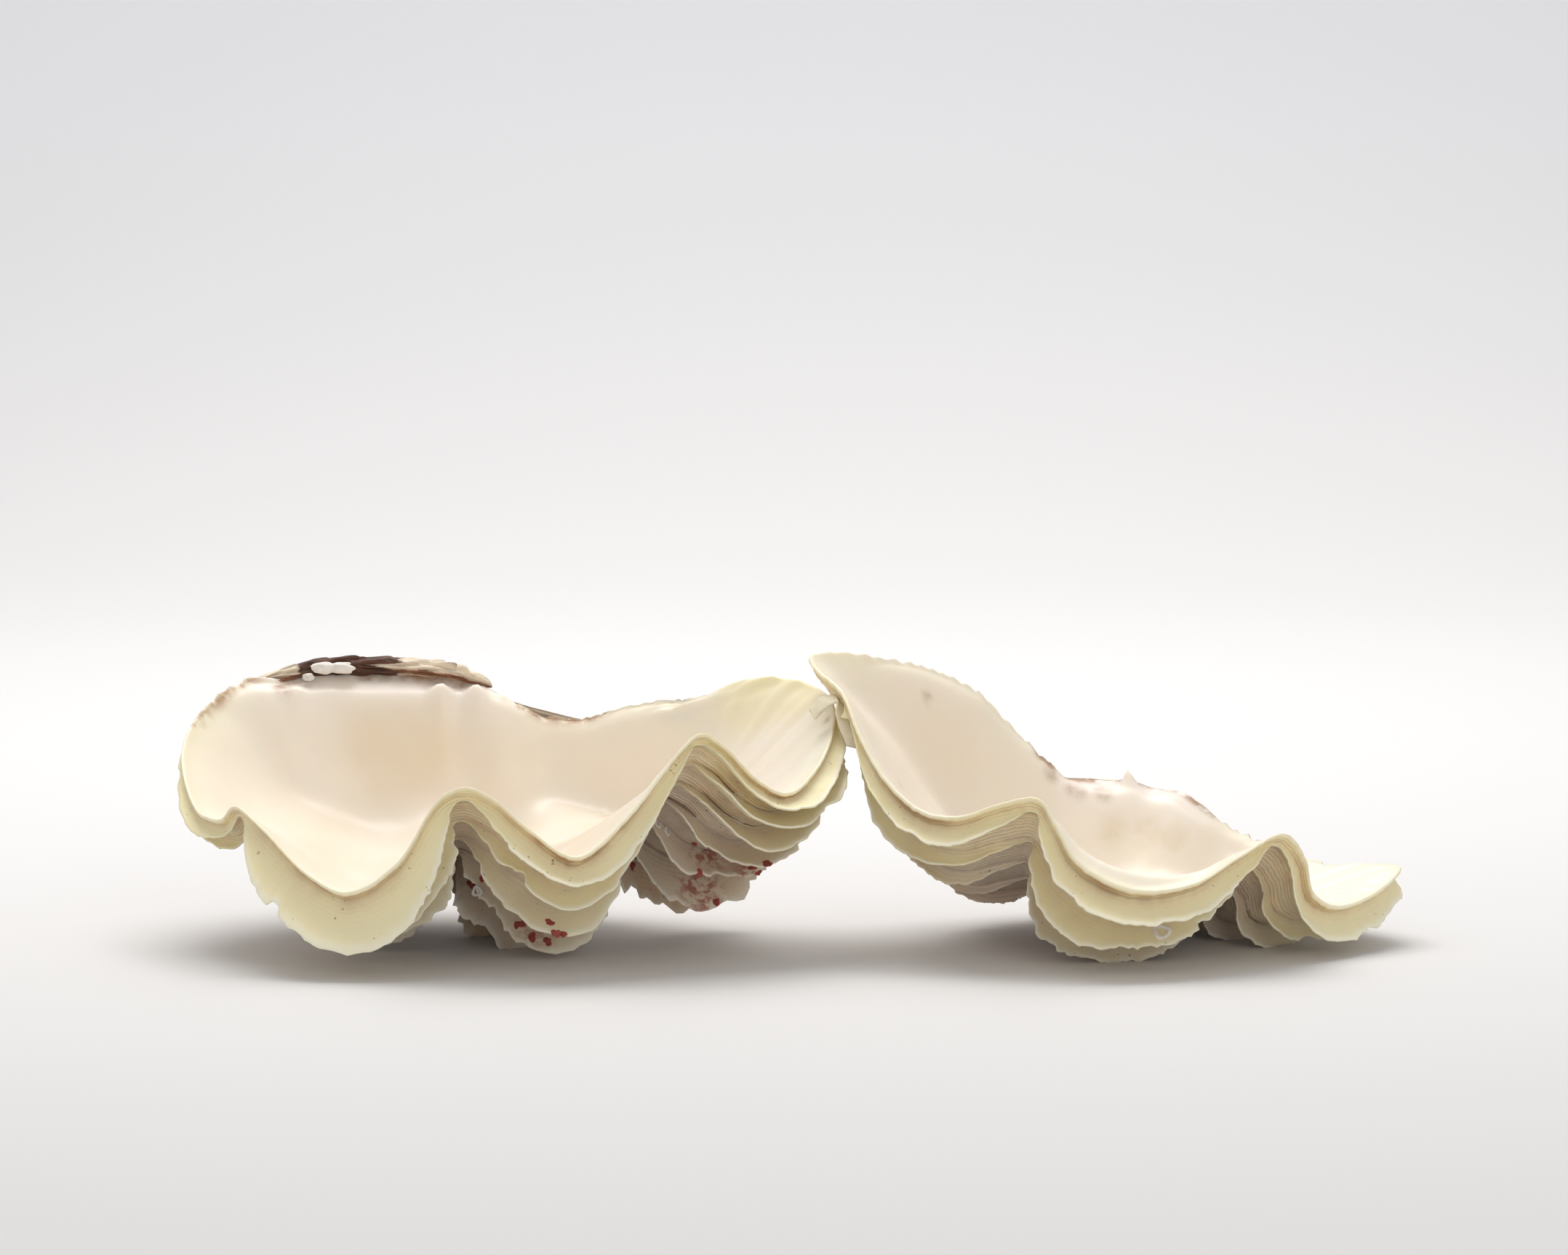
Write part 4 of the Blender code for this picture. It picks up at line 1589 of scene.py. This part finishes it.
# lengths at the corner, then on ribs 1, 2 and 3
RIGHT_FLARES = (
    Flare(2.0, 22.0, (2.0, 7.0, 10.0, 10.0), (0.0, 0.6, 0.0, 0.0)),
    Flare(8.0, 24.0, (2.0, 7.5, 12.5, 7.0), (0.0, -0.3, 0.0, 0.0)),
    Flare(15.0, 22.0, (2.0, 4.5, 11.0, 8.0)),
    Flare(23.0, 18.0, (2.0, 3.0, 7.0, 7.0)),
    Flare(33.0, 14.0, (2.0, 4.0, 5.0, 7.0)),
    Flare(45.0, 12.0, (2.0, 5.0, 4.0, 6.0)),
    Flare(58.0, 10.0, (2.0, 3.5, 4.0, 4.0)),
)
# coloured places by mark; one pick is a painted shadow under the broken flake
STAINS_AND_SHADOW = {
    "stain_and_shadow": (
        Pick(400, 937, 4.0), Pick(388, 947, 3.5), Pick(505, 921, 3.5), Pick(530, 921, 3.5),
        Pick(555, 921, 3.5), Pick(578, 922, 4.0), Pick(600, 930, 5.5), Pick(632, 932, 4.5),
        Pick(1445, 1062, 3.5, 0.7), Pick(1480, 1086, 4.0, 0.7), Pick(1520, 1088, 4.0, 0.7),
        # Pick(1138, 990) is a painted shadow under the broken flake
        Pick(1275, 957, 2.0, 0.6), Pick(1239, 1079, 1.2, 0.5), Pick(1138, 990, 2.2),
    ),
    "rusty": (
        Pick(333, 926, 8.0), Pick(303, 950, 8.0), Pick(275, 985, 7.0), Pick(731, 985, 12.0),
        Pick(790, 990, 12.0), Pick(1440, 1050, 9.0), Pick(1491, 1075, 11.0), Pick(1545, 1068, 9.0),
        Pick(1600, 1088, 9.0), Pick(1650, 1100, 7.0),
    ),
    "mossy": (Pick(1530, 1142, 6.0, 0.6), Pick(1580, 1142, 6.0, 0.6), Pick(1612, 1150, 5.0, 0.6)),
    "blush": (Pick(560, 1020, 22.0), Pick(700, 1060, 14.0, 0.5), Pick(1290, 1040, 18.0, 0.5)),
    "sallow": (Pick(1030, 960, 14.0), Pick(1060, 955, 12.0), Pick(1090, 960, 10.0)),
    "crusty": (
        Pick(1040, 1195, 8.0), Pick(970, 1170, 8.0), Pick(960, 1220, 8.0), Pick(985, 1250, 7.0),
        Pick(735, 1280, 7.0, 0.6),
    ),
}
CRUSTS = (
    Pick(1065, 1187, 1.7), Pick(649, 1216, 1.4), Pick(664, 1208, 1.2), Pick(711, 1271, 1.3),
    Pick(719, 1270, 1.1), Pick(731, 1288, 1.5), Pick(756, 1268, 1.3), Pick(753, 1294, 1.3),
    Pick(765, 1283, 1.3), Pick(775, 1284, 1.2), Pick(870, 1190, 1.2), Pick(1035, 1192, 1.2),
    Pick(1052, 1198, 1.3), Pick(955, 1160, 1.0), Pick(962, 1200, 1.2), Pick(985, 1240, 1.2),
)
TUBES = (Pick(656, 1225, 1.2), Pick(905, 1132, 1.0), Pick(918, 1142, 1.1), Pick(1597, 1281, 2.1))


def left_half() -> HalfShell:
    """The sizes of the left valve.

    Returns:
        The valve, not built yet.
    """
    return HalfShell(
        side=Node.LEFT, edge=LEFT_EDGE, umbo=(-117.0, 53.0, 74.8), axis=(0.996, 0.0, 0.04),
        growth=2.5, spread=0.55, skew=0.0, up=(-0.09, -0.20, 0.97), middle=(-92.0, -2.0, 62.0),
        flares=LEFT_FLARES, teeth=(
            (-156.0, 36.5, 1.8, 4.0), (-148.5, 40.0, 3.4, 3.6), (-139.0, 40.5, 1.4, 7.0),
            (-105.0, 42.5, 4.4, 3.4), (-94.5, 43.5, 4.0, 3.0),
        ),
        rib_stage=(1.0, 0.75, 1.0, 1.0, 1.0), rib_lean=(0.0, 16.0, 0.0, -12.0, 0.0),
        rib_aside=(0.0, 0.0, 0.0, 0.45, 0.0), rolls=(0.0, 0.8, 0.8, 0.8, 0.3), seed=3,
    )


def right_half() -> HalfShell:
    """The sizes of the right valve.

    Returns:
        The valve, not built yet.
    """
    return HalfShell(
        side=Node.RIGHT, edge=RIGHT_EDGE, umbo=(104.0, 53.0, 41.0), axis=(0.93, 0.0, -0.37),
        growth=3.15, spread=0.2, skew=0.25, up=(0.37, -0.03, 0.93), middle=(96.0, -4.0, 48.0),
        flares=RIGHT_FLARES, teeth=(
            (103.0, 47.5, 4.5, 1.6), (104.0, 46.0, 2.0, 4.0), (116.0, 42.0, 1.6, 5.0),
        ),
        rib_stage=(1.0, 1.0, 1.0, 1.0), rib_lean=(0.0, 0.0, 0.0, 0.0),
        rib_aside=(0.0, 0.3, 0.0, 0.0), rolls=(0.0, 0.5, 6.5, 0.5), seed=8,
    )


def settle(piece: bpy.types.Object, finish: bpy.types.Material, node: Node, stands_for: bool = False) -> None:
    """Gives a piece its material and its place in the frame.

    Args:
        piece: the piece.
        finish: its material.
        node: the node whose imported part is hidden when the piece stands for it.
        stands_for: whether it replaces that node.
    """
    piece.data.materials.clear()
    piece.data.materials.append(finish)
    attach(piece, "root")
    if stands_for:
        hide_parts(node.value)
    log.info("%s: %d faces, %.0f s", piece.name, len(piece.data.polygons), time.time() - STARTED)


def main() -> None:
    """Builds every piece in order."""
    studio = Studio()
    studio.add_camera()
    studio.light()
    studio.add_floor()
    finish = ShellFinish()
    valves = []
    for half in (left_half(), right_half()):
        valve = half.build()
        settle(valve, finish.material(half.side.value + "_finish"), half.side, True)
        valves.append(valve)
    finder = Finder(studio, valves)
    for name, picks in STAINS_AND_SHADOW.items():
        finder.stain_and_shadow(name, picks)
    settle(HingeLigament().build(), HornFinish().material("horn_finish"), Node.LIGAMENT, True)
    chalk = ChalkFinish().material("chalk_finish")
    lump = Lump(
        "hinge_lump", middle=(-138.1, 46.6, 76.3), half=(6.3, 2.2, 1.9), seed=4, rough=0.10, pinch=0.35,
    )
    crumb = Lump("hinge_crumb", middle=(-145.3, 45.4, 73.6), half=(1.6, 1.2, 1.1), seed=6, rough=0.2)
    settle(lump.build(), chalk, Node.LIGAMENT)
    settle(crumb.build(), chalk, Node.LIGAMENT)
    settle(BrokenFlake(studio).build(), ScaleFinish().material("flake_finish"), Node.LEFT)
    growths = Growths(finder)
    crusts = CrustFinish().material("crust_finish")
    settle(growths.crusts(CRUSTS), crusts, Node.LEFT)
    settle(growths.tubes(TUBES), chalk, Node.LEFT)


if __name__ == "__main__":
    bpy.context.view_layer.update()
    main()
